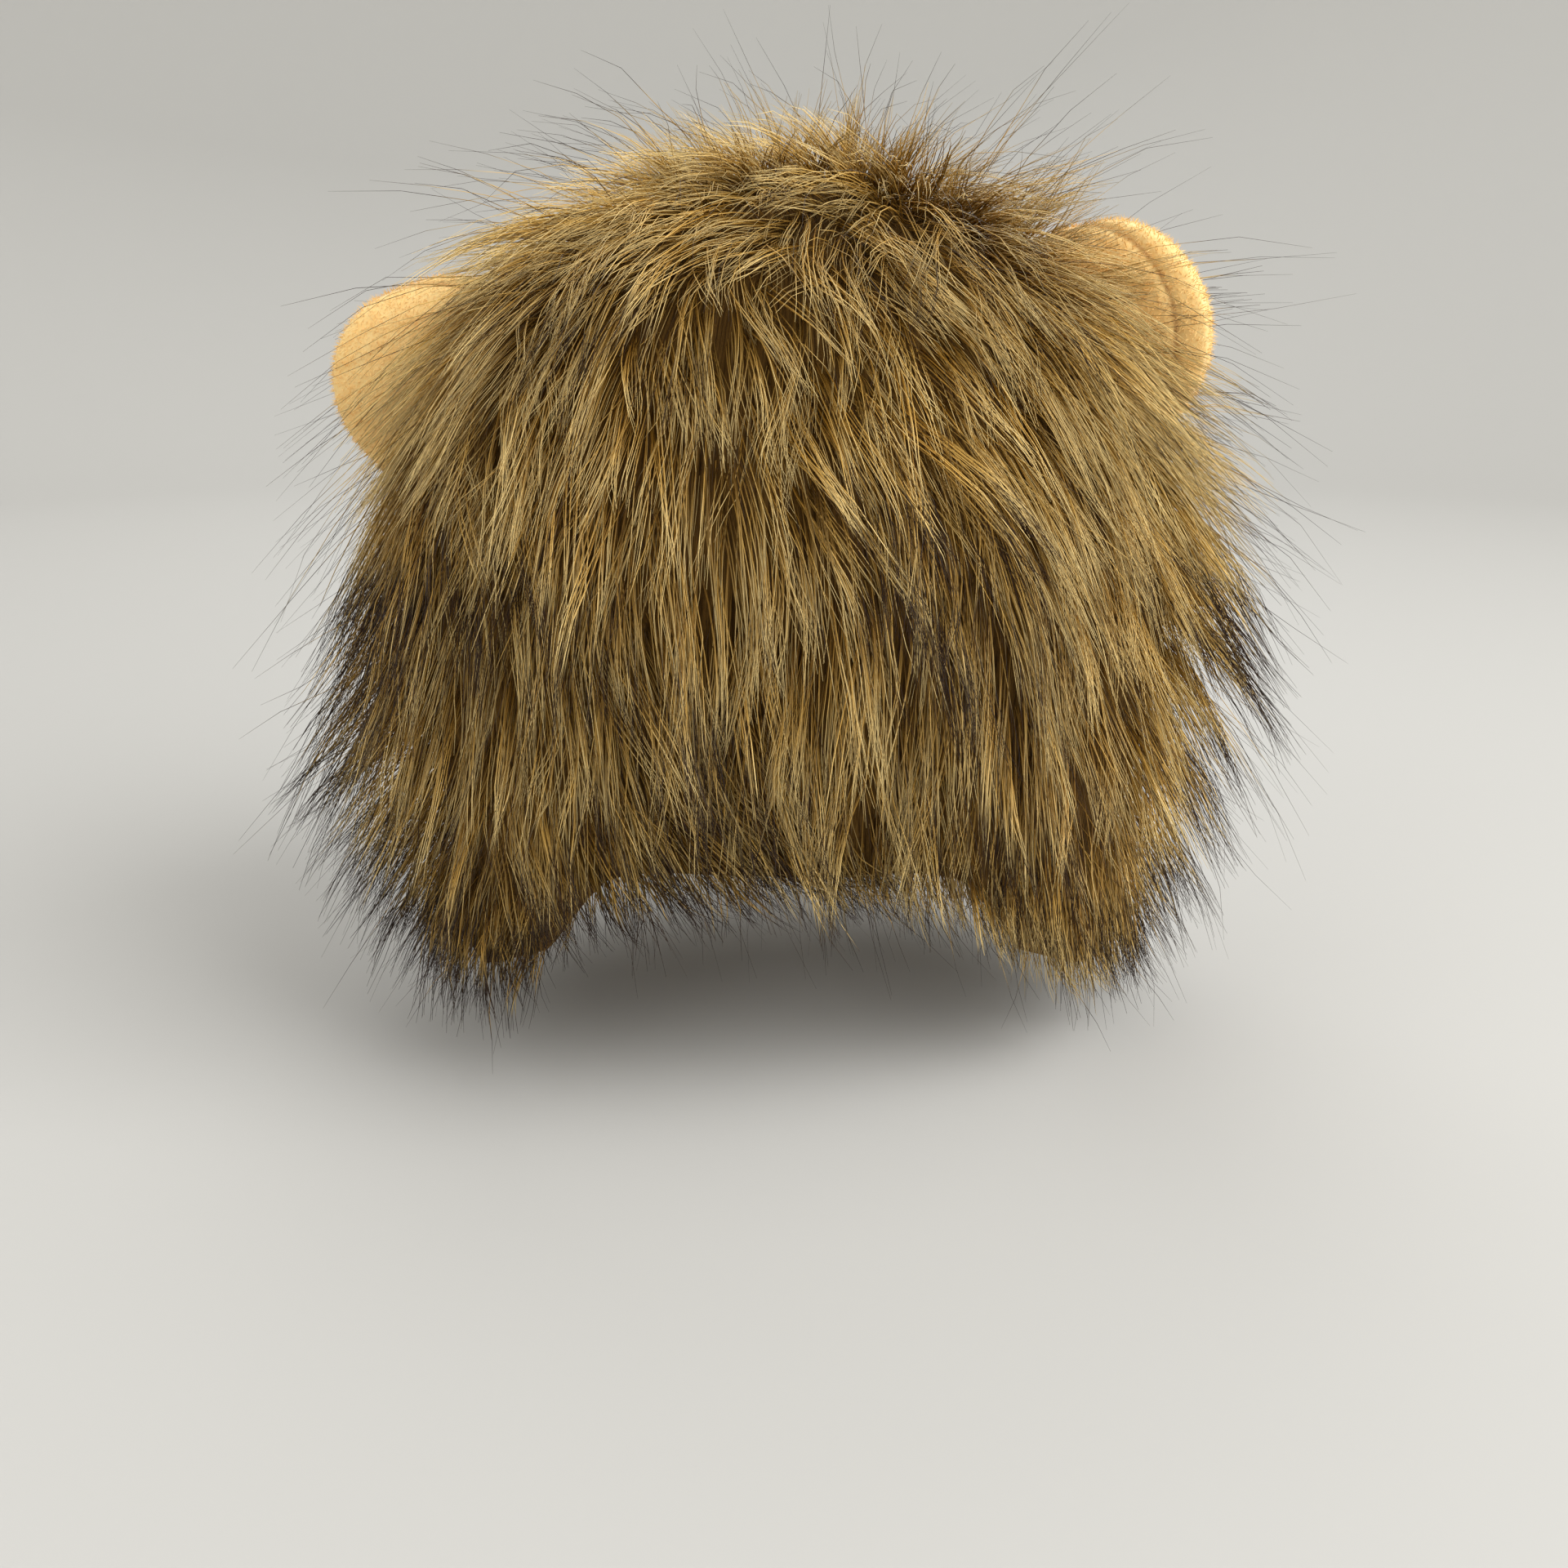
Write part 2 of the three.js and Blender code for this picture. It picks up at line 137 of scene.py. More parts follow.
def new_material(name: str, values: Mapping[str, float]) -> tuple[bpy.types.Material, bpy.types.NodeTree]:
    """Starts a material on the principled shader.

    Args:
        name: The material's name.
        values: A number for each of the shader's inputs that is the same all over.

    Returns:
        The material and its node tree.
    """
    made = bpy.data.materials.new(name)
    made.use_nodes = True
    for title, value in values.items():
        made.node_tree.nodes[SHADER].inputs[title].default_value = value
    return made, made.node_tree


def set_ramp(ramp: bpy.types.ColorRamp, stops: Sequence[tuple[float, Sequence[float]]]) -> None:
    """Gives a colour ramp its stops.

    Args:
        ramp: The ramp.
        stops: The place and the colour of each stop.
    """
    while len(ramp.elements) < len(stops):
        ramp.elements.new(0.5)
    for stop, (place, colour) in zip(ramp.elements, stops):
        stop.position, stop.color = place, colour


def new_mesh(name: str, build: bmesh.types.BMesh) -> bpy.types.Mesh:
    """Keeps what was built as a mesh.

    Args:
        name: The mesh's name.
        build: What was built, which is freed.

    Returns:
        The mesh.
    """
    mesh = bpy.data.meshes.new(name)
    build.to_mesh(mesh)
    build.free()
    return mesh


def smooth(share: Any) -> Any:
    """Eases a share from 0 to 1 at both of its ends."""
    share = np.clip(share, 0.0, 1.0)
    return share * share * (3.0 - 2.0 * share)


def mixed(a: Any, b: Any, share: Any) -> Any:
    """Goes from a to b by a share."""
    return a + (b - a) * share


def unit(vectors: np.ndarray) -> np.ndarray:
    """Scales each row to length 1."""
    return vectors / np.maximum(np.linalg.norm(vectors, axis=-1, keepdims=True), 1e-12)


def add_object(name: str, mesh: bpy.types.Mesh) -> bpy.types.Object:
    """Puts a mesh into the scene as an object at the origin.

    Args:
        name: The object's name.
        mesh: Its mesh, with its place in it.

    Returns:
        The object.
    """
    mesh.name = name
    made = bpy.data.objects.new(name, mesh)
    bpy.context.scene.collection.objects.link(made)
    return made


def finish_piece(piece: bpy.types.Object, slot: Slot, *nodes: str) -> bpy.types.Object:
    """Hands a piece to the frame and logs it.

    Args:
        piece: The finished piece.
        slot: Not used.
        nodes: The solids that it stands for.

    Returns:
        The piece.
    """
    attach(piece, BODY)
    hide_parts(*nodes)
    piece.data.calc_loop_triangles()
    LOG.info("%s: %d triangles, for %s", piece.name, len(piece.data.loop_triangles), ", ".join(nodes))
    return piece


def run_nodes(name: str, mesh: bpy.types.Mesh, tree: bpy.types.NodeTree,
              values: Mapping[str, Any]) -> bpy.types.Mesh:
    """Runs a Geometry Nodes tree on a mesh and keeps the result as a plain mesh.

    Args:
        name: The name of the working object.
        mesh: What the tree starts from.
        tree: The tree.
        values: A value for each named input.

    Returns:
        The mesh that the tree makes.
    """
    source = add_object(name, mesh)
    modifier = source.modifiers.new(tree.name, "NODES")
    modifier.node_group = tree
    for item in tree.interface.items_tree:
        if item.item_type == "SOCKET" and item.in_out == "INPUT" and item.name in values:
            modifier[item.identifier] = values[item.name]
    seen = source.evaluated_get(bpy.context.evaluated_depsgraph_get())
    result = bpy.data.meshes.new_from_object(seen)
    source.modifiers.remove(modifier)
    bpy.data.objects.remove(source)
    if "tone" in result.attributes:
        result.attributes.remove(result.attributes["tone"])
    return result


def new_tree(name: str, sockets: Sequence[tuple[str, str]]) -> bpy.types.NodeTree:
    """Starts a Geometry Nodes tree that takes and gives a geometry.

    Args:
        name: The tree's name.
        sockets: The name and type of each further input.

    Returns:
        The tree, with its inputs and its output.
    """
    tree = bpy.data.node_groups.new(name, "GeometryNodeTree")
    tree.interface.new_socket("Geometry", in_out="INPUT", socket_type="NodeSocketGeometry")
    for title, kind in sockets:
        tree.interface.new_socket(title, in_out="INPUT", socket_type=kind)
    tree.interface.new_socket("Geometry", in_out="OUTPUT", socket_type="NodeSocketGeometry")
    return tree


@dataclass(frozen=True)
class HoodForm:
    """The form of the hood, in metres: a dome over the head and a neck that tapers to its hem."""

    side: float = 62 * MM
    back: float = 57 * MM
    front: float = 52 * MM
    crown: float = 60 * MM
    neck_taper: float = 0.07
    hem_back: float = 110 * MM
    hem_side: float = 137 * MM
    hem_front: float = 133 * MM
    nape_from: float = 0.5
    nape_to: float = 0.97
    wall: float = 2 * MM
    gap: float = 0.3 * MM
    face_half_width: float = 43 * MM
    face_half_height: float = 44 * MM
    face_drop: float = 66 * MM
    face_begins: float = 13 * MM
    chin_slit: float = 5 * MM
    cloth_height: float = 170.0  # mm of cloth from the crown to the hem, on its map
    rim_width: float = 1.5  # mm of cloth across a rim, on its map
    crown_ring: float = 0.012  # fall of the first ring of corners

    def hem_drop(self, azimuth: np.ndarray) -> np.ndarray:
        """How far the hem lies below the crown.

        Args:
            azimuth: Radians from the back.

        Returns:
            One distance for each azimuth.
        """
        cosine = np.cos(azimuth)
        climb = smooth((cosine - self.nape_from) / (self.nape_to - self.nape_from))
        before = mixed(self.hem_side, self.hem_front, cosine**2)
        return np.where(cosine < 0, before, mixed(self.hem_side, self.hem_back, climb))

    def point(self, azimuth: Any, fall: Any, out: Any) -> np.ndarray:
        """Points off the wall's inner face.

        Args:
            azimuth: Radians from the back towards the wearer's left.
            fall: From 0 at the crown through 0.5 at the widest level to 1 at the hem.
            out: Distance outwards from the inner face.

        Returns:
            One row of x, y and z for each point.
        """
        azimuth, fall, out = np.broadcast_arrays(*(np.asarray(v, float) for v in (azimuth, fall, out)))
        sine, cosine = np.sin(azimuth), np.cos(azimuth)
        depth = np.where(cosine > 0, self.back, self.front)
        angle = np.minimum(fall, 0.5) * np.pi
        neck = np.maximum(2 * fall - 1, 0)
        spread = 1 - self.neck_taper * smooth(neck)
        low = fall >= 0.5
        x = np.where(low, self.side * spread + out, (self.side + out) * np.sin(angle)) * sine
        y = np.where(low, depth * spread + out, (depth + out) * np.sin(angle)) * cosine
        dome = (self.crown + out) * np.cos(angle) - self.crown
        tube = -mixed(self.crown, self.hem_drop(azimuth), neck)
        return np.stack([x, y, np.where(low, tube, dome)], axis=-1)

    def normal(self, azimuth: np.ndarray, fall: np.ndarray) -> np.ndarray:
        """Outward directions of the surface.

        Args:
            azimuth: Radians from the back.
            fall: From crown to hem.

        Returns:
            One unit vector for each point.
        """
        step = 0.01
        at = np.maximum(fall, 2 * step)
        round_ = self.point(azimuth + step, at, 0) - self.point(azimuth - step, at, 0)
        down = self.point(azimuth, at + step, 0) - self.point(azimuth, at - step, 0)
        return unit(np.cross(round_, down))

    def face_share(self, places: np.ndarray, grow: float) -> np.ndarray:
        """How far points lie from the middle of the face oval, as a share of its half size.

        Args:
            places: Points, in rows.
            grow: How much wider than the opening the oval is on each side.

        Returns:
            Shares below 1 inside the oval, and large ones behind the front.
        """
        across = places[..., 0] / (self.face_half_width + grow)
        up = (places[..., 2] + self.face_drop) / (self.face_half_height + grow)
        return np.where(places[..., 1] < -self.face_begins, np.hypot(across, up), 9.0)

    def fall_at(self, azimuth: np.ndarray, z: np.ndarray) -> np.ndarray:
        """The fall at which the surface has a height.

        Args:
            azimuth: Radians from the back.
            z: Heights.

        Returns:
            One fall for each pair.
        """
        neck = 0.5 + 0.5 * (-z - self.crown) / (self.hem_drop(azimuth) - self.crown)
        dome = np.arccos(np.clip((z + self.crown) / self.crown, -1, 1)) / np.pi
        return np.where(z < -self.crown, neck, dome)

    def wall_mesh(self, outer: Callable, inner: Callable, hole: float, steps: tuple[int, int],
                  lowest: float) -> bpy.types.Mesh:
        """A closed wall over the head, cut out for the face and slit under the chin.

        Args:
            outer: Gives the outer face's distance from azimuth and fall.
            inner: Gives the inner face's distance in the same way.
            hole: How much wider than the face opening the cut is.
            steps: How many faces there are round the head and from crown to hem.
            lowest: The fall at which the wall ends.

        Returns:
            The wall, with a map of its cloth in millimetres.
        """
        columns, rows = steps
        ease = math.asin(self.chin_slit / 2 / self.front)
        azimuth = np.linspace(-math.pi + ease, math.pi - ease, columns + 1)
        azimuth, fall = np.meshgrid(azimuth, np.linspace(self.crown_ring, lowest, rows + 1))
        places = self.point(azimuth, fall, self.wall)
        inside = self.face_share(places, hole) < 1
        index = np.arange(inside.size).reshape(inside.shape)
        quads = np.stack([index[:-1, :-1], index[:-1, 1:], index[1:, 1:], index[1:, :-1]], axis=-1)
        closing = np.stack([index[:-1, -1], index[:-1, 0], index[1:, 0], index[1:, -1]], axis=-1)
        above = places[1:, 0, 2] > -self.face_drop
        quads = np.concatenate([quads.reshape(-1, 4), closing[above]])
        cut = inside.reshape(-1)[quads].any(axis=1)
        edge = np.zeros(inside.size, bool)
        edge[np.intersect1d(quads[cut], quads[~cut])] = True
        edge &= ~inside.reshape(-1)
        azimuth, fall = self._to_oval(azimuth.reshape(-1), fall.reshape(-1), edge, hole)
        pole = np.concatenate([index[0], index[0, :1]])
        return self._two_faced(azimuth, fall, quads[~cut], pole, outer, inner)

    def _to_oval(self, azimuth: np.ndarray, fall: np.ndarray, edge: np.ndarray,
                 hole: float) -> tuple[np.ndarray, np.ndarray]:
        """Moves the corners at the cut onto the oval.

        Args:
            azimuth: The corners' azimuths.
            fall: The corners' falls.
            edge: Which corners lie at the cut.
            hole: How much wider than the face opening the cut is.

        Returns:
            The new azimuths and falls.
        """
        azimuth, fall = azimuth.copy(), fall.copy()
        middle_azimuth = np.sign(azimuth[edge]) * math.pi
        middle_fall = self.fall_at(np.array(math.pi), np.array(-self.face_drop))
        low, high = np.zeros(edge.sum()), np.ones(edge.sum())
        for _ in range(30):
            half = (low + high) / 2
            at = self.point(mixed(azimuth[edge], middle_azimuth, half), mixed(fall[edge], middle_fall, half),
                            self.wall)
            beyond = self.face_share(at, hole) > 1
            low, high = np.where(beyond, half, low), np.where(beyond, high, half)
        azimuth[edge] = mixed(azimuth[edge], middle_azimuth, low)
        fall[edge] = mixed(fall[edge], middle_fall, low)
        return azimuth, fall

    def _two_faced(self, azimuth: np.ndarray, fall: np.ndarray, quads: np.ndarray, pole: np.ndarray,
                   outer: Callable, inner: Callable) -> bpy.types.Mesh:
        """Builds both faces of a wall and closes its rims.

        Args:
            azimuth: The corners' azimuths.
            fall: The corners' falls.
            quads: The faces, as rows of four corners.
            pole: The corners round the crown.
            outer: Gives the outer face's distance.
            inner: Gives the inner face's distance.

        Returns:
            The closed mesh.
        """
        build = bmesh.new()
        cloth = build.loops.layers.uv.new(CLOTH_MAP)
        girth = 2 * math.pi * self.side / MM
        across = azimuth * self.side / MM
        along = fall * self.cloth_height
        sides = []
        for face, turn in ((outer, 1), (inner, -1)):
            places = self.point(azimuth, fall, face(azimuth, fall))
            corners = [build.verts.new(p) for p in places]
            top = build.verts.new(self.point(0.0, 0.0, face(np.array(0.0), np.array(0.0))))
            number = {corner: i for i, corner in enumerate(corners)}
            faces = [tuple(corners[i] for i in quad) for quad in quads.tolist()]
            faces += [(top, corners[b], corners[a]) for a, b in zip(pole[:-1], pole[1:])]
            for loop_corners in faces:
                made = build.faces.new(loop_corners[::turn])
                made.smooth = True
                lead = next(number[c] for c in loop_corners if c in number)
                for loop in made.loops:
                    i = number.get(loop.vert, lead)
                    wide = across[i] - round((across[i] - across[lead]) / girth) * girth
                    loop[cloth].uv = (wide, along[i])
            sides.append(corners)
        build.verts.index_update()
        count = len(sides[0]) + 1
        twin = {corner: other for corner, other in zip(*sides)}
        rims = [e for e in build.edges if e.is_boundary and max(v.index for v in e.verts) < count]
        for rim in rims:
            a, b = rim.verts
            made = build.faces.new((a, b, twin[b], twin[a]))
            for loop in made.loops:
                i = loop.vert.index % count
                loop[cloth].uv = (across[i], along[i] + (self.rim_width if loop.vert.index >= count else 0))
        loose = [v for v in build.verts if not v.link_faces]
        bmesh.ops.delete(build, geom=loose, context="VERTS")
        bmesh.ops.recalc_face_normals(build, faces=build.faces)
        return new_mesh("wall", build)


@dataclass(frozen=True)
class KnittedBacking:
    """Knitted polyester backing of fur cloth: matt, with fine upright ribs and a soft broken colour."""

    light: int = 0x9C8258
    dark: int = 0x6B5433
    rib: float = 2.4  # mm between ribs, drawn coarser than the real 1.2 mm so that it shows
    course: float = 2.0  # mm between rows of loops, coarser than the real ones too

    def material(self) -> bpy.types.Material:
        """Makes the material.

        Returns:
            The material.
        """
        made, tree = new_material("knitted_polyester_backing",
                                  {"Roughness": 0.95, "Sheen Weight": 0.25, "Specular IOR Level": 0.2})
        add, shader = partial(add_node, tree), tree.nodes[SHADER]
        where = add("ShaderNodeUVMap", uv_map=CLOTH_MAP)
        parts = add(SEPARATE, {0: where})
        ribs = add(MATH, {0: parts.outputs[0], 1: 2 * math.pi / self.rib}, operation="MULTIPLY")
        rows = add(MATH, {0: parts.outputs[1], 1: 2 * math.pi / self.course}, operation="MULTIPLY")
        rib = add(MATH, {0: ribs}, operation="SINE")
        row = add(MATH, {0: rows}, operation="SINE")
        slant = add(MATH, {0: rib, 1: row}, operation="MULTIPLY")
        loops = add(MATH, {0: rib, 1: slant}, operation="ADD")
        height = add(MAP_RANGE, {0: loops, 1: -1.6, 2: 1.6})
        spots = add(NOISE, {"Vector": where, "Scale": 0.35, "Detail": 4.0})
        share = add(MATH, {0: height, 1: spots.outputs[0]}, operation="MULTIPLY")
        colour = add(MIX, {0: share, 6: linear(self.dark), 7: linear(self.light)}, data_type="RGBA")
        bump = add("ShaderNodeBump", {"Strength": 0.6, "Distance": 0.4 * MM, "Height": height})
        for socket, title in ((colour.outputs[2], "Base Color"), (bump.outputs[0], "Normal")):
            tree.links.new(socket, shader.inputs[title])
        return made


@dataclass(frozen=True)
class LongPileFur:
    """Long modacrylic pile: brown roots with painted shade deep in the fur, tan lengths with a soft gleam,
    and dark brown ends.
    """

    # root and low are the roots' brown, made darker still as painted shade deep among the strands
    root: int = 0x472D07
    low: int = 0x825E1E
    tan: int = 0xB4904A
    gold: int = 0xD4BA7E
    tip: int = 0x2A190B
    columns: int = 120  # tones across the strands, each a little lighter or darker than the next
    shades: tuple[float, ...] = (0.76, 0.96, 1.16, 1.4)  # how light the locks are, one band of the map each

    def material(self) -> bpy.types.Material:
        """Makes the material.

        Returns:
            The material.
        """
        made, tree = new_material("modacrylic_long_pile", {"Roughness": 0.36, "Specular IOR Level": 0.22})
        add, shader = partial(add_node, tree), tree.nodes[SHADER]
        where = add("ShaderNodeUVMap", uv_map=BAKE_MAP)
        parts = add(SEPARATE, {0: where})
        tone = parts.outputs[0]
        bands = add(MATH, {0: parts.outputs[1], 1: float(len(self.shades))}, operation="MULTIPLY")
        along = add(MATH, {0: bands}, operation="FRACT").outputs[0]
        steps = add("ShaderNodeValToRGB", {0: parts.outputs[1]})
        steps.color_ramp.interpolation = "CONSTANT"
        levels = [(k / len(self.shades), (s, s, s, 1.0)) for k, s in enumerate(self.shades)]
        set_ramp(steps.color_ramp, levels)
        length = add("ShaderNodeValToRGB", {0: along})
        # The root and low stops carry painted shade deep in the fur as well as the roots' brown
        stops = ((0.0, self.root), (0.2, self.low), (0.48, self.tan), (0.75, self.gold))
        set_ramp(length.color_ramp, [(place, linear(code)) for place, code in stops])
        start = add(MAP_RANGE, {0: tone, 1: 0.25, 2: 1.0, 3: 1.0, 4: 0.42})
        end = add(MATH, {0: start, 1: 0.18}, operation="ADD")
        ended = add(MAP_RANGE, {0: along, 1: start, 2: end}, interpolation_type="SMOOTHSTEP")
        dipped = add(MIX, {0: ended, 6: length, 7: linear(self.tip)}, data_type="RGBA")
        column = add(MATH, {0: tone, 1: float(self.columns)}, operation="MULTIPLY")
        whole = add(MATH, {0: column}, operation="FLOOR")
        chance = add("ShaderNodeTexWhiteNoise", {"W": whole}, noise_dimensions="1D")
        light = add(MAP_RANGE, {0: chance.outputs[0], 3: 0.7, 4: 1.35})
        lit = add(VECTOR_MATH, {0: steps, 3: light}, operation="SCALE")
        colour = add(MIX, {0: 1.0, 6: dipped.outputs[2], 7: lit}, data_type="RGBA", blend_type="MULTIPLY")
        tree.links.new(colour.outputs[2], shader.inputs["Base Color"])
        return made


@dataclass(frozen=True)
class Underfur:
    """Dense woolly underfur: dark brown with painted shade between the locks, matt, broken into streaks that
    follow the combing.
    """

    # Both colours are a deep brown that stands for the fur and for painted shade between the strands
    dark: int = 0x35210A
    light: int = 0x8A6730
    streak: float = 0.5  # mm across a streak

    def material(self) -> bpy.types.Material:
        """Makes the material.

        Returns:
            The material.
        """
        made, tree = new_material("modacrylic_underfur", {"Roughness": 0.9, "Specular IOR Level": 0.15})
        add, shader = partial(add_node, tree), tree.nodes[SHADER]
        where = add("ShaderNodeUVMap", uv_map=CLOTH_MAP)
        drawn = add("ShaderNodeMapping", {0: where, 3: (1 / self.streak, 0.07, 1.0)})
        noise = add(NOISE, {"Vector": drawn, "Scale": 1.0, "Detail": 5.0, "Roughness": 0.65})
        share = add(MAP_RANGE, {0: noise.outputs[0], 1: 0.32, 2: 0.7})
        colour = add(MIX, {0: share, 6: linear(self.dark), 7: linear(self.light)}, data_type="RGBA")
        bump = add("ShaderNodeBump", {"Strength": 1.0, "Distance": 1.0 * MM, "Height": noise.outputs[0]})
        for socket, title in ((colour.outputs[2], "Base Color"), (bump.outputs[0], "Normal")):
            tree.links.new(socket, shader.inputs[title])
        return made


@dataclass(frozen=True)
class ShortPlush:
    """Short polyester plush: a soft apricot nap with a bloom at grazing angles and a faintly mottled lie."""

    light: int = 0xFFE4A4
    dark: int = 0xF8CA7C
    # painted shadow along the seam's groove: the colour that the seam line darkens towards
    painted_seam_shadow: int = 0x9A5A22
    mottle: float = 5.0  # mm across a patch of nap
    seam: float = 0.98  # share of the panel's width at which the seam lies
    seam_half: float = 0.03  # half the seam's width, as such a share

    def material(self, width: float, shift: tuple[float, float]) -> bpy.types.Material:
        """Makes the material.

        Args:
            width: How many millimetres of plush the map's unit covers.
            shift: How far the seam's round lies off the panel's middle, as shares of its half sizes.

        Returns:
            The material.
        """
        made, tree = new_material("polyester_short_plush",
                                  {"Roughness": 0.85, "Sheen Weight": 0.3, "Sheen Roughness": 0.5,
                                   "Specular IOR Level": 0.2})
        add, shader = partial(add_node, tree), tree.nodes[SHADER]
        where = add("ShaderNodeUVMap", uv_map=BAKE_MAP)
        broad = add(NOISE, {"Vector": where, "Scale": width / self.mottle, "Detail": 3.0})
        fine = add(NOISE, {"Vector": where, "Scale": width / 0.5, "Detail": 1.0})
        both = add(MIX, {0: 0.55, 2: broad.outputs[0], 3: fine.outputs[0]}, data_type="FLOAT")
        share = add(MAP_RANGE, {0: both.outputs[0], 1: 0.3, 2: 0.7})
        colour = add(MIX, {0: share, 6: linear(self.dark), 7: linear(self.light)}, data_type="RGBA")
        # Painted shadow: the colour darkens to a brown line where the seam's groove lies
        panel = add(VECTOR_MATH, {0: where, 1: (PANEL_MIDDLES[0], PANEL_LEVEL, 0.0)}, operation="SUBTRACT")
        flat = add(VECTOR_MATH, {0: panel, 1: (*PANEL_HALF, 1.0)}, operation="DIVIDE")
        round_seam = add(VECTOR_MATH, {0: flat, 1: (*shift, 0.0)}, operation="DISTANCE")
        beside = add(MATH, {0: round_seam.outputs["Value"], 1: self.seam}, operation="SUBTRACT")
        off = add(MATH, {0: beside}, operation="ABSOLUTE")
        seam_shadow_share = add(MAP_RANGE, {0: off, 1: 0.0, 2: self.seam_half, 3: 0.4, 4: 0.0},
                   interpolation_type="SMOOTHSTEP")
        shaded = add(MIX, {0: seam_shadow_share, 6: colour.outputs[2], 7: linear(self.painted_seam_shadow)}, data_type="RGBA")
        tree.links.new(shaded.outputs[2], shader.inputs["Base Color"])
        return made


@dataclass(frozen=True)
class HookAndLoopTape:
    """Woven nylon hook-and-loop tape: dark, matt, with a crumbly nap of loops."""

    light: int = 0x5C4C36
    dark: int = 0x33291C
    loop: float = 0.7  # mm across a loop

    def material(self) -> bpy.types.Material:
        """Makes the material.

        Returns:
            The material.
        """
        made, tree = new_material("nylon_hook_and_loop_tape", {"Roughness": 0.9})
        add, shader = partial(add_node, tree), tree.nodes[SHADER]
        where = add("ShaderNodeTexCoord")
        cells = add("ShaderNodeTexVoronoi",
                    {"Vector": where.outputs["Object"], "Scale": 1 / (self.loop * MM)})
        share = add(MAP_RANGE, {0: cells.outputs["Distance"], 1: 0.0, 2: 0.8})
        colour = add(MIX, {0: share, 6: linear(self.light), 7: linear(self.dark)}, data_type="RGBA")
        bump = add("ShaderNodeBump", {"Strength": 0.8, "Distance": 0.4 * MM, "Height": share}, invert=True)
        for socket, title in ((colour.outputs[2], "Base Color"), (bump.outputs[0], "Normal")):
            tree.links.new(socket, shader.inputs[title])
        return made


@dataclass
class Hood:
    """The cloth wall that the fur stands on, open at the face and neck."""

    form: HoodForm
    finish: KnittedBacking = KnittedBacking()
    steps: tuple[int, int] = (96, 48)

    def build(self) -> bpy.types.Object:
        """Makes the hood.

        Returns:
            The finished piece.
        """
        mesh = self.form.wall_mesh(
            lambda azimuth, fall: np.full(np.shape(fall), self.form.wall),
            lambda azimuth, fall: np.zeros(np.shape(fall)),
            0.0, self.steps, 1.0)
        mesh.materials.append(self.finish.material())
        return finish_piece(add_object("hood_wall", mesh), Slot.BACKING, "hood")


@dataclass
class ChinTab:
    """The tape inside the two front ends of the hood, across the slit."""

    form: HoodForm
    height: float = 16 * MM
    thickness: float = 1.5 * MM
    half_angle: float = math.radians(22)
    drop: float = 121 * MM
    rounding: float = 0.4 * MM
    finish: HookAndLoopTape = HookAndLoopTape()

    def build(self) -> bpy.types.Object:
        """Makes the tab.

        Returns:
            The finished piece.
        """
        build = bmesh.new()
        azimuth = math.pi + np.linspace(-self.half_angle, self.half_angle, 33)
        rows = []
        for drop in (self.drop - self.height / 2, self.drop + self.height / 2):
            for out in (-self.form.gap, -self.form.gap - self.thickness):
                fall = 0.5 + 0.5 * (drop - self.form.crown) / (self.form.hem_front - self.form.crown)
                rows.append([build.verts.new(p) for p in self.form.point(azimuth, fall, out)])
        loop = (rows[0], rows[1], rows[3], rows[2])
        for a, b in zip(loop, loop[1:] + loop[:1]):
            for i in range(len(azimuth) - 1):
                build.faces.new((a[i], b[i], b[i + 1], a[i + 1]))
        for i in (0, -1):
            build.faces.new([row[i] for row in loop])
        bmesh.ops.recalc_face_normals(build, faces=build.faces)
        sharp = [e for e in build.edges if e.calc_face_angle(0.0) > 0.7]
        bmesh.ops.bevel(build, geom=sharp, offset=self.rounding, segments=2, affect="EDGES", profile=0.5)
        mesh = new_mesh("tab", build)
        mesh.materials.append(self.finish.material())
        return finish_piece(add_object("chin_tape", mesh), Slot.TAB_TAPE, "chin_tab")


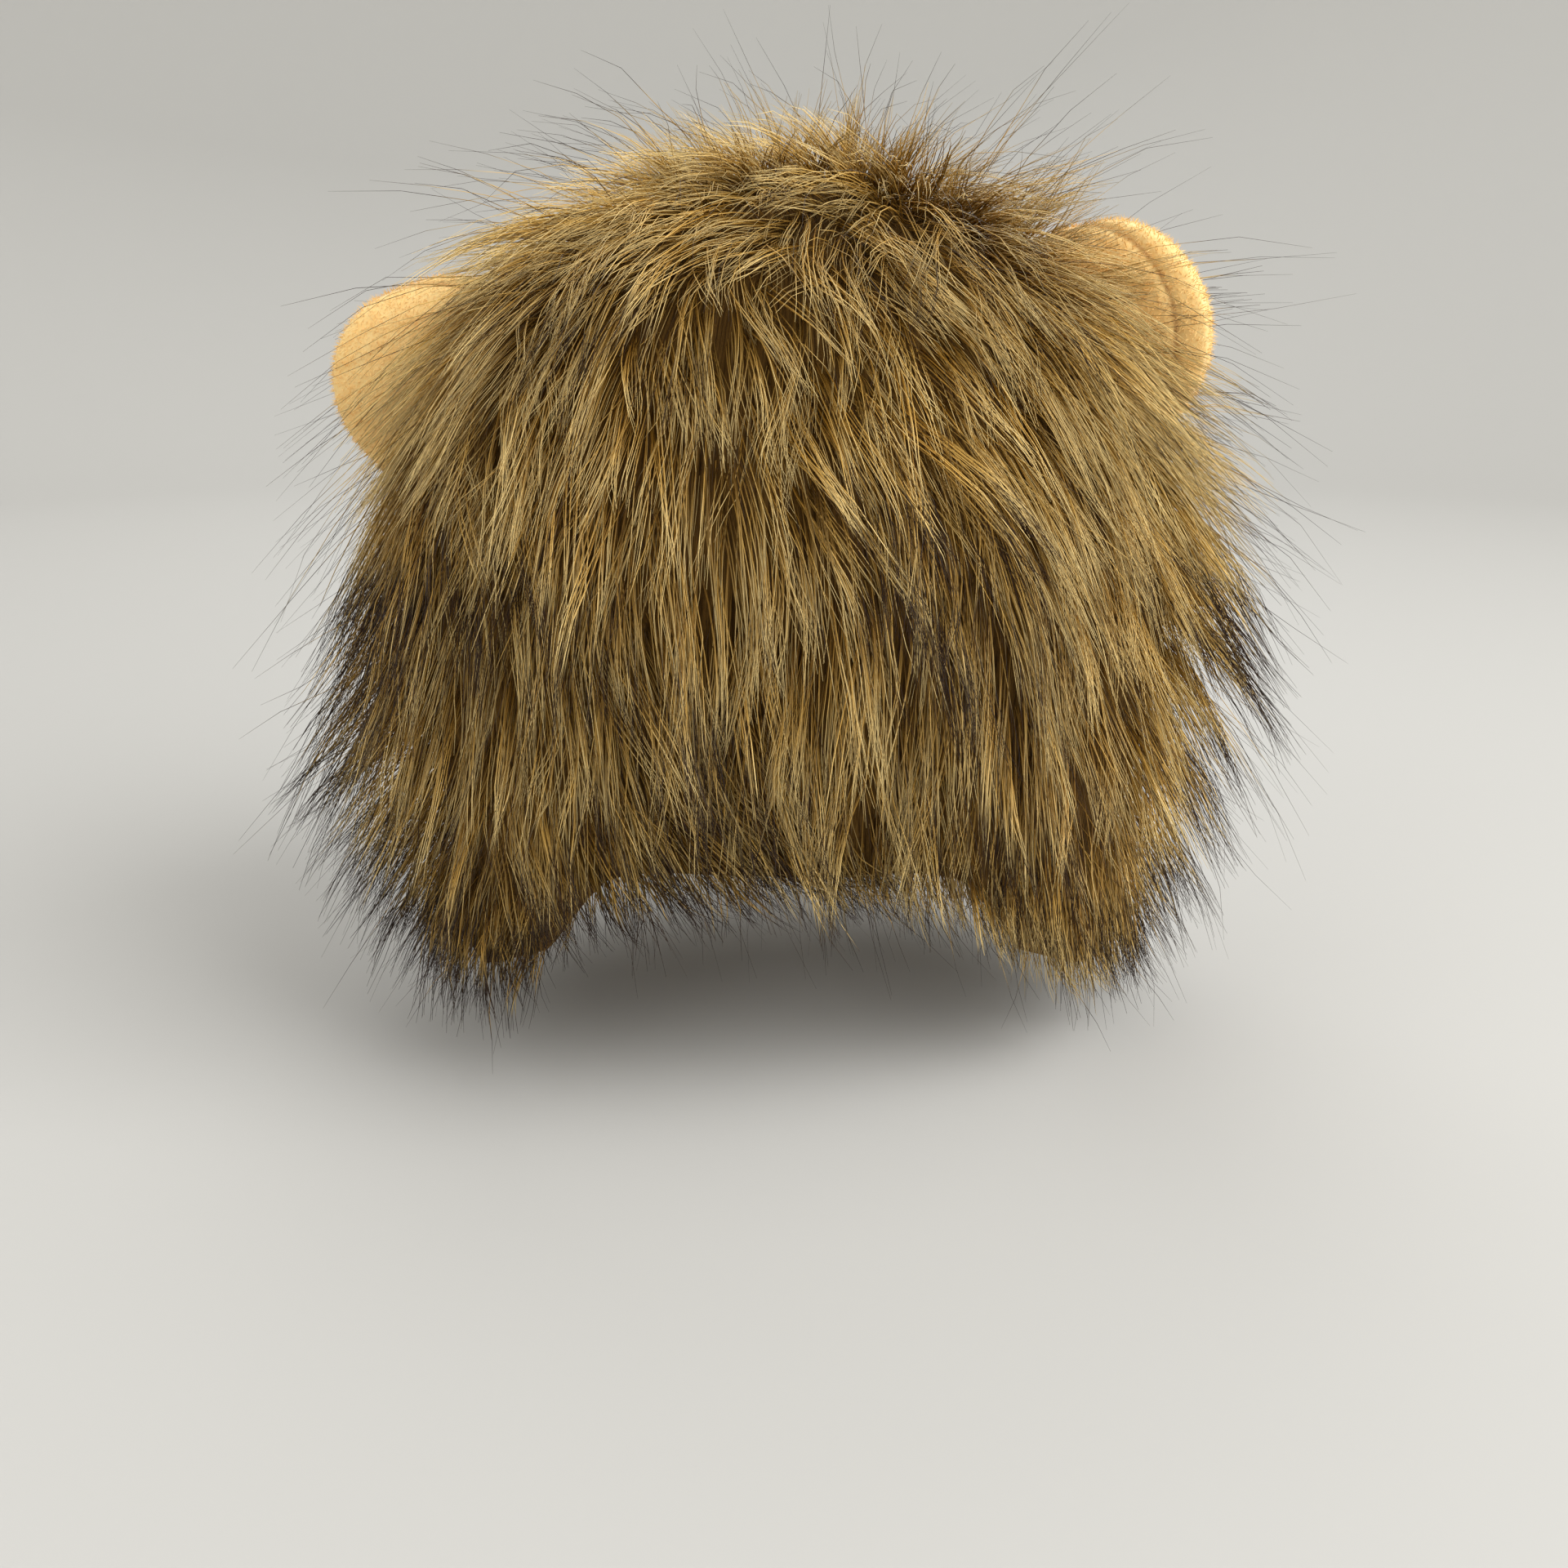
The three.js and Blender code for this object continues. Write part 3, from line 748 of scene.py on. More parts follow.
@dataclass
class Ear:
    """A round padded plush ear: two crowned panels that meet in a sunken seam."""

    form: HoodForm
    name: str
    side: int
    out: float
    drop: float
    forward: float
    elevation: float
    lean: float
    twist: float
    radius: float = 23.4 * MM
    stretch: float = 1.12
    back_bulge: float = 5 * MM
    front_bulge: float = 7 * MM
    edge: float = 0.25
    cup: float = 5 * MM
    dent: float = 0.14 * MM
    seam_depth: float = 0.7 * MM
    seam_shift: tuple[float, float] = (0.0, 0.0)
    round_steps: int = 72
    across_steps: int = 30
    fibre_count: int = 9000
    fibre_length: float = 1.6 * MM
    fibre_width: float = 0.2 * MM
    fibre_lean: float = 0.8
    fibre_spot: float = 0.006  # how wide a fibre's place on the map is
    finish: ShortPlush = ShortPlush()

    def place(self) -> Matrix:
        """Where the ear stands and how it is turned.

        Returns:
            The matrix from the ear's own axes to the hat's.
        """
        turn = Matrix.Rotation(self.side * math.radians(90 - self.elevation), 4, "Y")
        turn = turn @ Matrix.Rotation(math.radians(-self.lean), 4, "X")
        turn = turn @ Matrix.Rotation(self.side * math.radians(self.twist), 4, "Z")
        return Matrix.Translation((self.side * self.out, -self.forward, -self.drop)) @ turn

    def height(self, share: np.ndarray, bulge: float) -> np.ndarray:
        """How far a panel stands off the seam at a share of the way to its edge."""
        return bulge * mixed(self.edge, 1.0, np.sqrt(np.clip(1 - share**2, 0, 1)))

    def clear(self, places: np.ndarray, margin: float) -> np.ndarray:
        """Moves points that lie in the ear out over the nearer of its faces.

        Args:
            places: Points, with the strands in rows and the points of a strand next.
            margin: How far off the faces they are kept.

        Returns:
            The points, moved where they have to be.
        """
        turn = np.array(self.place())
        local = (places - turn[:3, 3]) @ turn[:3, :3]
        x, y, z = local[..., 0], local[..., 1], local[..., 2]
        share = np.hypot(x, z / self.stretch) / (self.radius + margin)
        bent = -self.cup * (x / self.radius) ** 2
        top = bent + self.height(share, self.back_bulge) + margin
        bottom = bent - self.height(share, self.front_bulge) - margin
        inside = (share < 1) & (y < top) & (y > bottom)
        behind = (y - bent).mean(axis=-1, keepdims=True) > -1 * MM
        local[..., 1] = np.where(inside, np.where(behind, top, bottom), y)
        return local @ turn[:3, :3].T + turn[:3, 3]

    def padded_mesh(self, rng: np.random.Generator) -> bpy.types.Mesh:
        """The stuffed form, seated on the hood.

        Args:
            rng: The source of the small dents.

        Returns:
            A closed mesh, with its map for the plush.
        """
        shares = np.sin(np.linspace(0, math.pi / 2, self.across_steps + 1))[1:]
        angle = np.linspace(0, 2 * math.pi, self.round_steps, endpoint=False)
        behind, before = PANEL_MIDDLES
        back = [(s, self.height(s, self.back_bulge), behind) for s in shares]
        front = [(s, -self.height(s, self.front_bulge), before) for s in shares[::-1]]
        phase = rng.uniform(0, 2 * math.pi, 6)
        build = bmesh.new()
        store = build.loops.layers.uv.new(BAKE_MAP)
        spot, sunk = {}, {}

        def corner(x: float, y: float, z: float, middle: float) -> Any:
            """Adds one corner, with its dent and its place on the map.

            Args:
                x: Its place across the ear.
                y: Its place through the ear.
                z: Its place along the ear.
                middle: Where the middle of its panel lies across the map.

            Returns:
                The corner.
            """
            waves = (math.sin(90 * (k + 1) * x + 70 * (2 - k) * z + phase[k]) for k in range(3))
            soft = sum(waves) * self.dent
            bent = -self.cup * (x / self.radius) ** 2
            made = build.verts.new((x, y + bent + soft, z))
            flat = np.array((x / self.radius, z / self.radius / self.stretch))
            share = math.hypot(*flat)
            spot[made] = (middle + PANEL_HALF[0] * flat[0], PANEL_LEVEL + PANEL_HALF[1] * flat[1])
            unrolled = flat if middle == behind or not share else flat * (2 - share) / share
            off = math.hypot(*(unrolled - self.seam_shift)) - self.finish.seam
            sunk[made] = self.seam_depth * math.exp(-((off / self.finish.seam_half) ** 2))
            return made

        rings = []
        for share, y, middle in back + front:
            rings.append([corner(share * self.radius * math.sin(a), y,
                                 -share * self.radius * self.stretch * math.cos(a), middle) for a in angle])
        tops = (corner(0, self.back_bulge, 0, behind), corner(0, -self.front_bulge, 0, before))
        count = len(angle)
        for k in range(count):
            n = (k + 1) % count
            build.faces.new((tops[0], rings[0][n], rings[0][k]))
            build.faces.new((tops[1], rings[-1][k], rings[-1][n]))
            for a, b in zip(rings, rings[1:]):
                build.faces.new((a[k], a[n], b[n], b[k]))
        for face in build.faces:
            face.smooth = True
            middles = [spot[v][0] for v in face.verts]
            far = max(middles) - min(middles) > 0.3
            for loop in face.loops:
                u, v = spot[loop.vert]
                loop[store].uv = (u - (before - behind) if far and u > 0.5 else u, v)
        bmesh.ops.recalc_face_normals(build, faces=build.faces)
        build.normal_update()
        for made, deep in sunk.items():
            made.co -= made.normal * deep
        mesh = new_mesh("ear", build)
        mesh.transform(self.place())
        self._seat(mesh)
        return mesh

    def _seat(self, mesh: bpy.types.Mesh) -> None:
        """Flattens the ear's base where it rests on the hood.

        Args:
            mesh: The placed ear.
        """
        co = np.empty(len(mesh.vertices) * 3, np.float32)
        mesh.vertices.foreach_get("co", co)
        places = co.reshape(-1, 3).astype(float)
        way = np.array(self.place())[:3, 2]
        off = self.form.wall + self.form.gap
        for _ in range(400):
            depth = np.where(places[:, 1] > 0, self.form.back, self.form.front)
            sizes = np.stack(np.broadcast_arrays(self.form.side, depth, self.form.crown), -1)
            inside = (((places + (0, 0, self.form.crown)) / (sizes + off)) ** 2).sum(-1) < 1
            if not inside.any():
                break
            places[inside] += way * 0.1 * MM
        mesh.vertices.foreach_set("co", places.astype(np.float32).reshape(-1))
        mesh.update()

    def fuzz_tree(self) -> bpy.types.NodeTree:
        """Geometry Nodes that stand short fibres all over the plush.

        Returns:
            The tree.
        """
        tree = new_tree("plush_nap", (
            ("Fibres", "NodeSocketInt"), ("Length", "NodeSocketFloat"), ("Width", "NodeSocketFloat"),
            ("Area", "NodeSocketFloat"), ("Lean", "NodeSocketFloat"), ("Seed", "NodeSocketInt"),
            ("Material", "NodeSocketMaterial")))
        add = partial(add_node, tree)
        source = add("NodeGroupInput")
        density = add(MATH, {0: source.outputs["Fibres"], 1: source.outputs["Area"]}, operation="DIVIDE")
        spread = add("GeometryNodeDistributePointsOnFaces", {
            "Mesh": source.outputs["Geometry"], "Density": density, "Seed": source.outputs["Seed"]})
        mapped = add("GeometryNodeInputNamedAttribute", {"Name": BAKE_MAP}, data_type="FLOAT_VECTOR")
        held = add(CAPTURE, {0: spread.outputs["Points"]})
        held.capture_items.new("VECTOR", "spot")
        tree.links.new(mapped.outputs[0], held.inputs["spot"])
        fibre = add("GeometryNodeMeshCone", {
            "Vertices": 3, "Side Segments": 1, "Radius Top": 0.0, "Radius Bottom": 1.0, "Depth": 1.0})
        corner = add(POSITION)
        kept = add(CAPTURE, {0: fibre.outputs["Mesh"]})
        kept.capture_items.new("VECTOR", "corner")
        tree.links.new(corner.outputs[0], kept.inputs["corner"])
        lean = add(RANDOM, {0: (-1.0, -1.0, -1.0), 1: (1.0, 1.0, 1.0), 8: 5}, data_type="FLOAT_VECTOR")
        leant = add(VECTOR_MATH, {0: lean.outputs[0], 3: source.outputs["Lean"]}, operation="SCALE")
        way = add(VECTOR_MATH, {0: spread.outputs["Normal"], 1: leant}, operation="ADD")
        turn = add("FunctionNodeAlignRotationToVector", {"Vector": way}, axis="Z")
        grown = add(RANDOM, {2: 0.55, 3: 1.0, 8: 9}, data_type="FLOAT")
        long = add(MATH, {0: grown.outputs[1], 1: source.outputs["Length"]}, operation="MULTIPLY")
        half = add(MATH, {0: source.outputs["Width"], 1: 0.5}, operation="MULTIPLY")
        size = add(COMBINE, {0: half, 1: half, 2: long})
        stood = add("GeometryNodeInstanceOnPoints", {
            "Points": held.outputs["Geometry"], "Instance": kept.outputs["Geometry"], "Rotation": turn,
            "Scale": size})
        real = add(REALIZE, {0: stood})
        local = add(VECTOR_MATH, {0: kept.outputs["corner"], 1: (1.0, 1.0, 0.0)}, operation="MULTIPLY")
        parts = add(SEPARATE, {0: kept.outputs["corner"]})
        raised = add(COMBINE, {1: parts.outputs[2]})
        shape = add(VECTOR_MATH, {0: local, 1: raised}, operation="ADD")
        small = add(VECTOR_MATH, {0: shape, 3: self.fibre_spot}, operation="SCALE")
        spot = add(VECTOR_MATH, {0: held.outputs["spot"], 1: small}, operation="ADD")
        stored = add("GeometryNodeStoreNamedAttribute", {"Geometry": real, "Name": BAKE_MAP, "Value": spot},
                     data_type="FLOAT2", domain="CORNER")
        joined = add("GeometryNodeJoinGeometry")
        tree.links.new(stored.outputs[0], joined.inputs[0])
        tree.links.new(source.outputs["Geometry"], joined.inputs[0])
        whole = add(REALIZE, {0: joined})
        dressed = add(SET_MATERIAL, {"Geometry": whole, "Material": source.outputs["Material"]})
        add("NodeGroupOutput", {0: dressed})
        return tree

    def build(self, rng: np.random.Generator) -> bpy.types.Object:
        """Makes the ear.

        Args:
            rng: The source of its small dents.

        Returns:
            The finished piece.
        """
        mesh = self.padded_mesh(rng)
        area = sum(p.area for p in mesh.polygons)
        material = self.finish.material(self.radius / PANEL_HALF[0] / MM, self.seam_shift)
        mesh = run_nodes("ear_form", mesh, self.fuzz_tree(), {
            "Fibres": self.fibre_count, "Length": self.fibre_length, "Width": self.fibre_width,
            "Area": area, "Lean": self.fibre_lean, "Seed": 3 + self.side, "Material": material})
        piece = finish_piece(add_object(f"ear_{self.name}", mesh), Slot.EAR_PLUSH,
                             f"ear_{self.name}_back", f"ear_{self.name}_front")
        return piece


@dataclass(frozen=True)
class LockRow:
    """How the locks stand at one level between the crown and the hem."""

    fall: float
    length: float
    lift: float
    side_lift: float
    right_lift: float


@dataclass
class Mane:
    """The deep fur: a layer of underfur, locks of strands by regions, and loose guard hair."""

    form: HoodForm
    ears: Sequence[Ear]
    rows: tuple[LockRow, ...] = (
        LockRow(0.05, 34, 34, 0, 0),
        LockRow(0.14, 39, 29, 0, 2),
        LockRow(0.25, 42, 25, -6, 2),
        LockRow(0.38, 42, 25, -4, 4),
        LockRow(0.53, 43, 23, 13, 6),
        LockRow(0.69, 42, 20, 23, 0),
        LockRow(0.84, 38, 16, 25, -4),
        LockRow(0.97, 30, 8, 22, -4),
    )
    # Beyond the face edge, length, lift
    rings: tuple[tuple[float, float, float], ...] = ((1.5, 17, 58), (6, 22, 54), (11, 28, 48), (16, 31, 44))
    bulk_crown: float = 12 * MM
    bulk_back: float = 14 * MM
    bulk_side: float = 22 * MM
    bulk_front: float = 8 * MM
    bulk_hem: float = 17 * MM
    bulk_rise: tuple[float, float] = (0.26, 0.62)
    hem_fade: float = 0.6
    whorl: tuple[float, float, float] = (-12 * MM, -50 * MM, 8 * MM)
    front_from: float = 4 * MM
    front_to: float = 36 * MM
    face_lift: float = 24.0
    sag: float = 0.11
    crown_sag: float = 0.2
    swing: float = 15.0
    hem_sweep: float = 16.0
    hem_curve: float = 45.0
    curl: float = 55.0
    lock_spacing: float = 7.4 * MM
    scatter: float = 0.35  # of the spacing, either way
    face_clear: float = 17.6 * MM  # how far from the face opening the rows end and the rings begin
    crown_spacing: float = 0.8  # how much closer the locks stand at the crown
    hem_locks: int = 126  # further locks along the hem
    hem_reach: float = math.radians(174)
    root_depth: float = 8 * MM
    root_level: float = 14 * MM  # off the backing, where the locks' spacing is measured
    guide_points: int = 6
    strands: int = 20
    tuft: int = 5  # strands that keep together
    strand_points: int = 6
    guard_points: int = 5
    strand_width: float = 0.27 * MM
    guard_width: float = 0.64 * 0.27 * MM
    guard_share: float = 0.45  # of the locks have guard hair
    guard_raised: float = 14.0  # degrees that it stands up by more than the locks
    guard_stretched: float = 1.12  # how much longer than the locks it is
    guard_seed: int = 77
    ear_cover: float = 0.3  # how much longer the locks beside the ears are
    ear_margin: float = 0.9 * MM  # how far off the ears the strands stay
    hem_trim: float = 0.68  # how long the locks at the hem are, as a share of the others
    # Tone of the strands' ends, from 0, all tan, to 1, dark from the middle on
    tone: float = 0.34
    tone_change: float = 0.56
    tone_patch: float = 22 * MM
    tone_seed: int = 1819
    tone_dark: float = 0.96  # at the sides' edges and towards the hem
    tone_scatter: float = 0.14
    ear_tone: float = 0.3  # how much lighter the fur beside the ears is
    overhang: float = 9 * MM  # how far strands may reach beyond the solids' box
    seed: int = 7
    finish: LongPileFur = LongPileFur()
    under_finish: Underfur = Underfur()

    def bulk(self, azimuth: np.ndarray, fall: np.ndarray) -> np.ndarray:
        """How far the dense fur stands off the backing.

        Args:
            azimuth: Radians from the back.
            fall: From crown to hem.

        Returns:
            One distance for each point.
        """
        cosine = np.cos(azimuth)
        level = mixed(self.bulk_side, np.where(cosine > 0, self.bulk_back, self.bulk_front), cosine**2)
        start, end = self.bulk_rise
        upper = mixed(self.bulk_crown, level, smooth((fall - start) / (end - start)))
        return mixed(upper, np.minimum(self.bulk_hem, upper),
                     smooth((fall - self.hem_fade) / (1 - self.hem_fade)))

    def near_face(self, places: np.ndarray) -> np.ndarray:
        """How near points are to the front of the hat, from 0 to 1."""
        return smooth((-places[..., 1] - self.front_from) / (self.front_to - self.front_from))

    def combing(self, places: np.ndarray, normals: np.ndarray) -> np.ndarray:
        """The way the fur is combed: from the crown, and at the front away from the face.

        Args:
            places: Points on the hood.
            normals: The hood's outward directions there.

        Returns:
            One unit vector along the surface for each point.
        """
        from_crown = unit(places - np.array(self.whorl))
        from_face = unit(places - np.array([0, -self.form.front, -self.form.face_drop]))
        way = mixed(from_crown, from_face, self.near_face(places)[:, None])
        return unit(way - normals * (way * normals).sum(-1, keepdims=True))

    def lock_roots(self, rng: np.random.Generator) -> tuple[np.ndarray, np.ndarray, np.ndarray]:
        """Where the locks root, in loose rows from the crown to the hem and in rings round the face.

        Args:
            rng: The source of their scatter.

        Returns:
            Azimuths, falls, and the number of the ring, which is -1 in the rows.
        """
        azimuths, falls, ring = [], [], []
        fall = 0.015
        while fall < 1.0:
            reach = 0.02
            here, below = self.form.point(0.5, np.array((fall, fall + reach)), self.root_level)
            step = np.linalg.norm(below - here) / reach
            around = self.form.point(np.linspace(0, 2 * math.pi, 90), fall, self.root_level)
            girth = np.linalg.norm(np.diff(around, axis=0), axis=-1).sum()
            spacing = self.lock_spacing * mixed(self.crown_spacing, 1, smooth((fall - 0.1) / 0.25))
            count = max(3, round(girth / spacing))
            at = np.arange(count) + rng.uniform(0, 1) + rng.uniform(-self.scatter, self.scatter, count)
            azimuths.append(at / count * 2 * math.pi)
            level = fall + rng.uniform(-self.scatter, self.scatter, count) * self.lock_spacing / step
            falls.append(np.clip(level, 0.005, 0.995))
            ring.append(np.full(count, -1))
            fall += spacing / step
        scatter = rng.uniform(-0.5, 0.5, self.hem_locks) / self.hem_locks
        azimuths.append((np.linspace(-1, 1, self.hem_locks) + scatter) * self.hem_reach)
        falls.append(0.985 + rng.uniform(-0.02, 0.01, self.hem_locks))
        ring.append(np.full(self.hem_locks, -1))
        azimuth, fall = np.concatenate(azimuths), np.concatenate(falls)
        keep = self.form.face_share(self.form.point(azimuth, fall, self.form.wall), self.face_clear) > 1
        azimuths, falls, ring = [azimuth[keep]], [fall[keep]], [np.concatenate(ring)[keep]]
        for number, (beyond, _, _) in enumerate(self.rings):
            wide, high = self.form.face_half_width + beyond * MM, self.form.face_half_height + beyond * MM
            count = round(math.pi * (wide + high) / (0.85 * self.lock_spacing))
            turn = (np.arange(count) + rng.uniform(-0.3, 0.3, count)) / count * 2 * math.pi
            x, z = wide * np.cos(turn), high * np.sin(turn) - self.form.face_drop
            level = self.form.fall_at(np.full(count, math.pi), z)
            half = self.form.point(math.pi / 2, level, 0.0)[:, 0]
            azimuths.append(math.pi - np.arcsin(np.clip(x / half, -1, 1)))
            falls.append(np.minimum(level, 0.99))
            ring.append(np.full(count, number))
        return np.concatenate(azimuths), np.concatenate(falls), np.concatenate(ring)

    def drift(self, places: np.ndarray, size: float, seed: int) -> np.ndarray:
        """A soft random field from -1 to 1 over the hat.

        Args:
            places: Points.
            size: About how wide its patches are.
            seed: Which field it is.

        Returns:
            One value for each point.
        """
        rng = np.random.default_rng(seed)
        total = np.zeros(len(places))
        for _ in range(7):
            wave = unit(rng.normal(size=3)) * rng.uniform(2.0, 4.2) / size
            total += np.sin(places @ wave + rng.uniform(0, 6.3))
        return np.clip(total / 3.2, -1, 1)

    def guides(self, rng: np.random.Generator, roots: tuple, raised: float = 0.0,
               stretched: float = 1.0) -> tuple[np.ndarray, np.ndarray, np.ndarray]:
        """The middle line of each lock.

        Args:
            rng: The source of the locks' variety.
            roots: Azimuths, falls and ring numbers.
            raised: Degrees that they stand up by more than the locks of the mane.
            stretched: How much longer than those they are.

        Returns:
            The lines' points, each lock's tone from 0 to 1, and each lock's region.
        """
        azimuth, fall, ring = roots
        count = len(fall)
        on_ring = ring >= 0
        surface = self.form.point(azimuth, fall, self.form.wall + self.form.gap)
        normal = self.form.normal(azimuth, fall)
        levels = np.array([r.fall for r in self.rows])
        length, lift, side_lift, right_lift = (
            np.interp(fall, levels, [getattr(r, column) for r in self.rows])
            for column in ("length", "lift", "side_lift", "right_lift"))
        ring_table = np.array(self.rings)[np.maximum(ring, 0)]
        near = self.near_face(surface)
        sideways = np.sin(azimuth) * (1 - near)
        at_nape = np.maximum(np.cos(azimuth), 0) * smooth(2 * fall - 1)
        beside_ear = smooth((np.abs(sideways) - 0.4) / 0.25) * smooth((fall - 0.1) / 0.1)
        beside_ear = beside_ear * (1 - smooth((fall - 0.34) / 0.12))
        standing = lift + side_lift * sideways**2 - right_lift * sideways + self.face_lift * near
        standing = np.where(on_ring, ring_table[:, 2], standing) * (1 + rng.uniform(-0.3, 0.3, count))
        standing = standing + raised * rng.uniform(0.4, 1.4, count)
        long = length * mixed(1, 0.8, near) * mixed(1, 0.8, at_nape)
        long = long * mixed(1, self.hem_trim, smooth((fall - 0.92) / 0.06))
        long = np.where(on_ring, ring_table[:, 1], long * (1 + self.ear_cover * beside_ear))
        long = long * (1 + rng.uniform(-0.15, 0.15, count)) * MM * stretched
        tousle = mixed(2.4, 1.1, smooth(fall / 0.3)) * rng.uniform(-1, 1, count)
        swing = self.swing * (1.5 * self.drift(surface, 30 * MM, 3) + tousle) + self.hem_sweep * at_nape
        turn = np.radians(swing)[:, None]
        way = self.combing(surface, normal)
        way = way * np.cos(turn) + np.cross(normal, way) * np.sin(turn)
        lean = np.radians(standing)[:, None]
        heading = way * np.cos(lean) + normal * np.sin(lean)
        root = np.maximum(self.bulk(azimuth, fall) - self.root_depth, 0.5 * MM)
        place = surface + normal * root[:, None]
        lines = [place]
        spans = self.guide_points - 1
        step = (long / spans)[:, None]
        bend = self.curl * (self.drift(surface, 18 * MM, 9) + rng.uniform(-0.6, 0.6, count))
        bend = np.radians(bend)[:, None] / spans
        sweep = np.radians(self.hem_curve * at_nape * smooth((fall - 0.65) / 0.2))[:, None] / spans
        phase = rng.uniform(-0.6, 1.0, count)[:, None]
        weight = np.outer(mixed(self.crown_sag, self.sag, smooth(fall / 0.35)), (0, 0, 1))
        for k in range(spans):
            place = place + heading * step
            sway = np.cos(phase + math.pi * k / (spans - 1))
            heading = unit(heading + np.cross(normal, heading) * (bend * sway + sweep) - weight)
            lines.append(place)
        tone = self.tone + self.tone_change * self.drift(surface, self.tone_patch, self.tone_seed)
        tone = tone - self.ear_tone * beside_ear
        edge = smooth((np.abs(sideways) - 0.83) / 0.16) * smooth((fall - 0.34) / 0.16)
        low = smooth((fall - 0.55) / 0.3) * mixed(0.3, 1.0, smooth(0.6 + 0.5 * sideways))
        tone = mixed(tone, self.tone_dark, 0.92 * np.maximum(edge, low))
        tone = np.clip(tone + rng.uniform(-self.tone_scatter, self.tone_scatter, count), 0.02, 1.0)
        region = np.select(
            [(fall > 0.93) & ~on_ring, on_ring | (near > 0.55), fall < 0.24, np.cos(azimuth) > 0.62,
             np.sin(azimuth) > 0],
            [Region.HEM.name, Region.FRONT.name, Region.CROWN.name, Region.BACK.name, Region.LEFT.name],
            Region.RIGHT.name)
        return np.stack(lines, axis=1), tone, region

    def guide_mesh(self, lines: np.ndarray, tone: np.ndarray) -> bpy.types.Mesh:
        """Turns guide lines into a mesh of edges that carries their tones.

        Args:
            lines: The lines' points.
            tone: How dark the ends of each line's strands are, from 0 to 1.

        Returns:
            The mesh.
        """
        count, points, _ = lines.shape
        index = np.arange(count * points).reshape(count, points)
        edges = np.stack([index[:, :-1], index[:, 1:]], axis=-1).reshape(-1, 2)
        mesh = bpy.data.meshes.new("guides")
        mesh.from_pydata(lines.reshape(-1, 3).tolist(), edges.tolist(), [])
        tones = np.repeat(tone, points).astype(np.float32)
        mesh.attributes.new("tone", "FLOAT", "POINT").data.foreach_set("value", tones)
        return mesh

    def strand_tree(self) -> bpy.types.NodeTree:
        """Geometry Nodes that grow a lock of tapered strands, in a few tufts, round each guide line.

        Returns:
            The tree.
        """
        tree = new_tree("lock_strands", (
            ("Strands", "NodeSocketInt"), ("Tuft", "NodeSocketInt"), ("Points", "NodeSocketInt"),
            ("Spread", "NodeSocketFloat"), ("Tuft Spread", "NodeSocketFloat"), ("Clump", "NodeSocketFloat"),
            ("Splay", "NodeSocketFloat"), ("Frizz", "NodeSocketFloat"), ("Shortest", "NodeSocketFloat"),
            ("Width", "NodeSocketFloat"), ("Tone Spread", "NodeSocketFloat"),
            ("Shades", "NodeSocketInt"), ("Seed", "NodeSocketInt"), ("Material", "NodeSocketMaterial")))
        add = partial(add_node, tree)
        source = add("NodeGroupInput")
        given = source.outputs
        lines = add("GeometryNodeMeshToCurve", {"Mesh": given["Geometry"]})
        copies = add("GeometryNodeDuplicateElements", {"Geometry": lines, "Amount": given["Strands"]},
                     domain="SPLINE")
        index = add("GeometryNodeInputIndex")
        tone = add("GeometryNodeInputNamedAttribute", {"Name": "tone"}, data_type="FLOAT")
        chance = add(RANDOM, {2: -0.5, 3: 0.5, 7: index, 8: given["Seed"]}, data_type="FLOAT")
        toned = add(MATH, {0: chance.outputs[1], 1: given["Tone Spread"], 2: tone},
                    operation="MULTIPLY_ADD", use_clamp=True)
        numbered = add(CAPTURE, {0: copies}, domain="CURVE")
        for kind, title in (("INT", "strand"), ("INT", "tuft"), ("FLOAT", "tone"), ("FLOAT", "shade")):
            numbered.capture_items.new(kind, title)
        tree.links.new(index.outputs[0], numbered.inputs["strand"])
        tree.links.new(toned.outputs[0], numbered.inputs["tone"])
        group = add(MATH, {0: index, 1: given["Tuft"]}, operation="DIVIDE")
        tufted = add(MATH, {0: group}, operation="FLOOR")
        last = add(MATH, {0: given["Shades"], 1: 1.0}, operation="SUBTRACT")
        shade = add(RANDOM, {4: 0, 5: last, 7: tufted, 8: given["Seed"]}, data_type="INT")
        tree.links.new(shade.outputs[2], numbered.inputs["shade"])
        tree.links.new(tufted.outputs[0], numbered.inputs["tuft"])
        strand, tuft = numbered.outputs["strand"], numbered.outputs["tuft"]
        factor = add("GeometryNodeSplineParameter").outputs["Factor"]
        one, minus = (1.0, 1.0, 1.0), (-1.0, -1.0, -1.0)
        seeds = [add(MATH, {0: given["Seed"], 1: float(k)}, operation="ADD") for k in range(1, 7)]
        root = add(RANDOM, {0: minus, 1: one, 7: tuft, 8: seeds[0]}, data_type="FLOAT_VECTOR")
        nearing = add(MAP_RANGE, {0: factor, 1: 0.0, 2: 1.0, 3: 1.0, 4: 0.6})
        wide = add(MATH, {0: nearing, 1: given["Spread"]}, operation="MULTIPLY")
        shift = add(VECTOR_MATH, {0: root.outputs[0], 3: wide}, operation="SCALE")
        loose = add(RANDOM, {2: 0.0, 3: 1.0, 7: strand, 8: seeds[1]}, data_type="FLOAT")
        looser = add(MATH, {0: loose.outputs[1], 1: 4.0}, operation="POWER")
        drawn = add(MAP_RANGE, {0: looser, 3: given["Clump"], 4: 1.6})
        closing = add(MAP_RANGE, {0: factor, 1: 0.0, 2: 0.9, 3: 1.0, 4: drawn})
        narrow = add(MATH, {0: closing, 1: given["Tuft Spread"]}, operation="MULTIPLY")
        own = add(RANDOM, {0: minus, 1: one, 7: strand, 8: seeds[5]}, data_type="FLOAT_VECTOR")
        apart = add(VECTOR_MATH, {0: own.outputs[0], 3: narrow}, operation="SCALE")
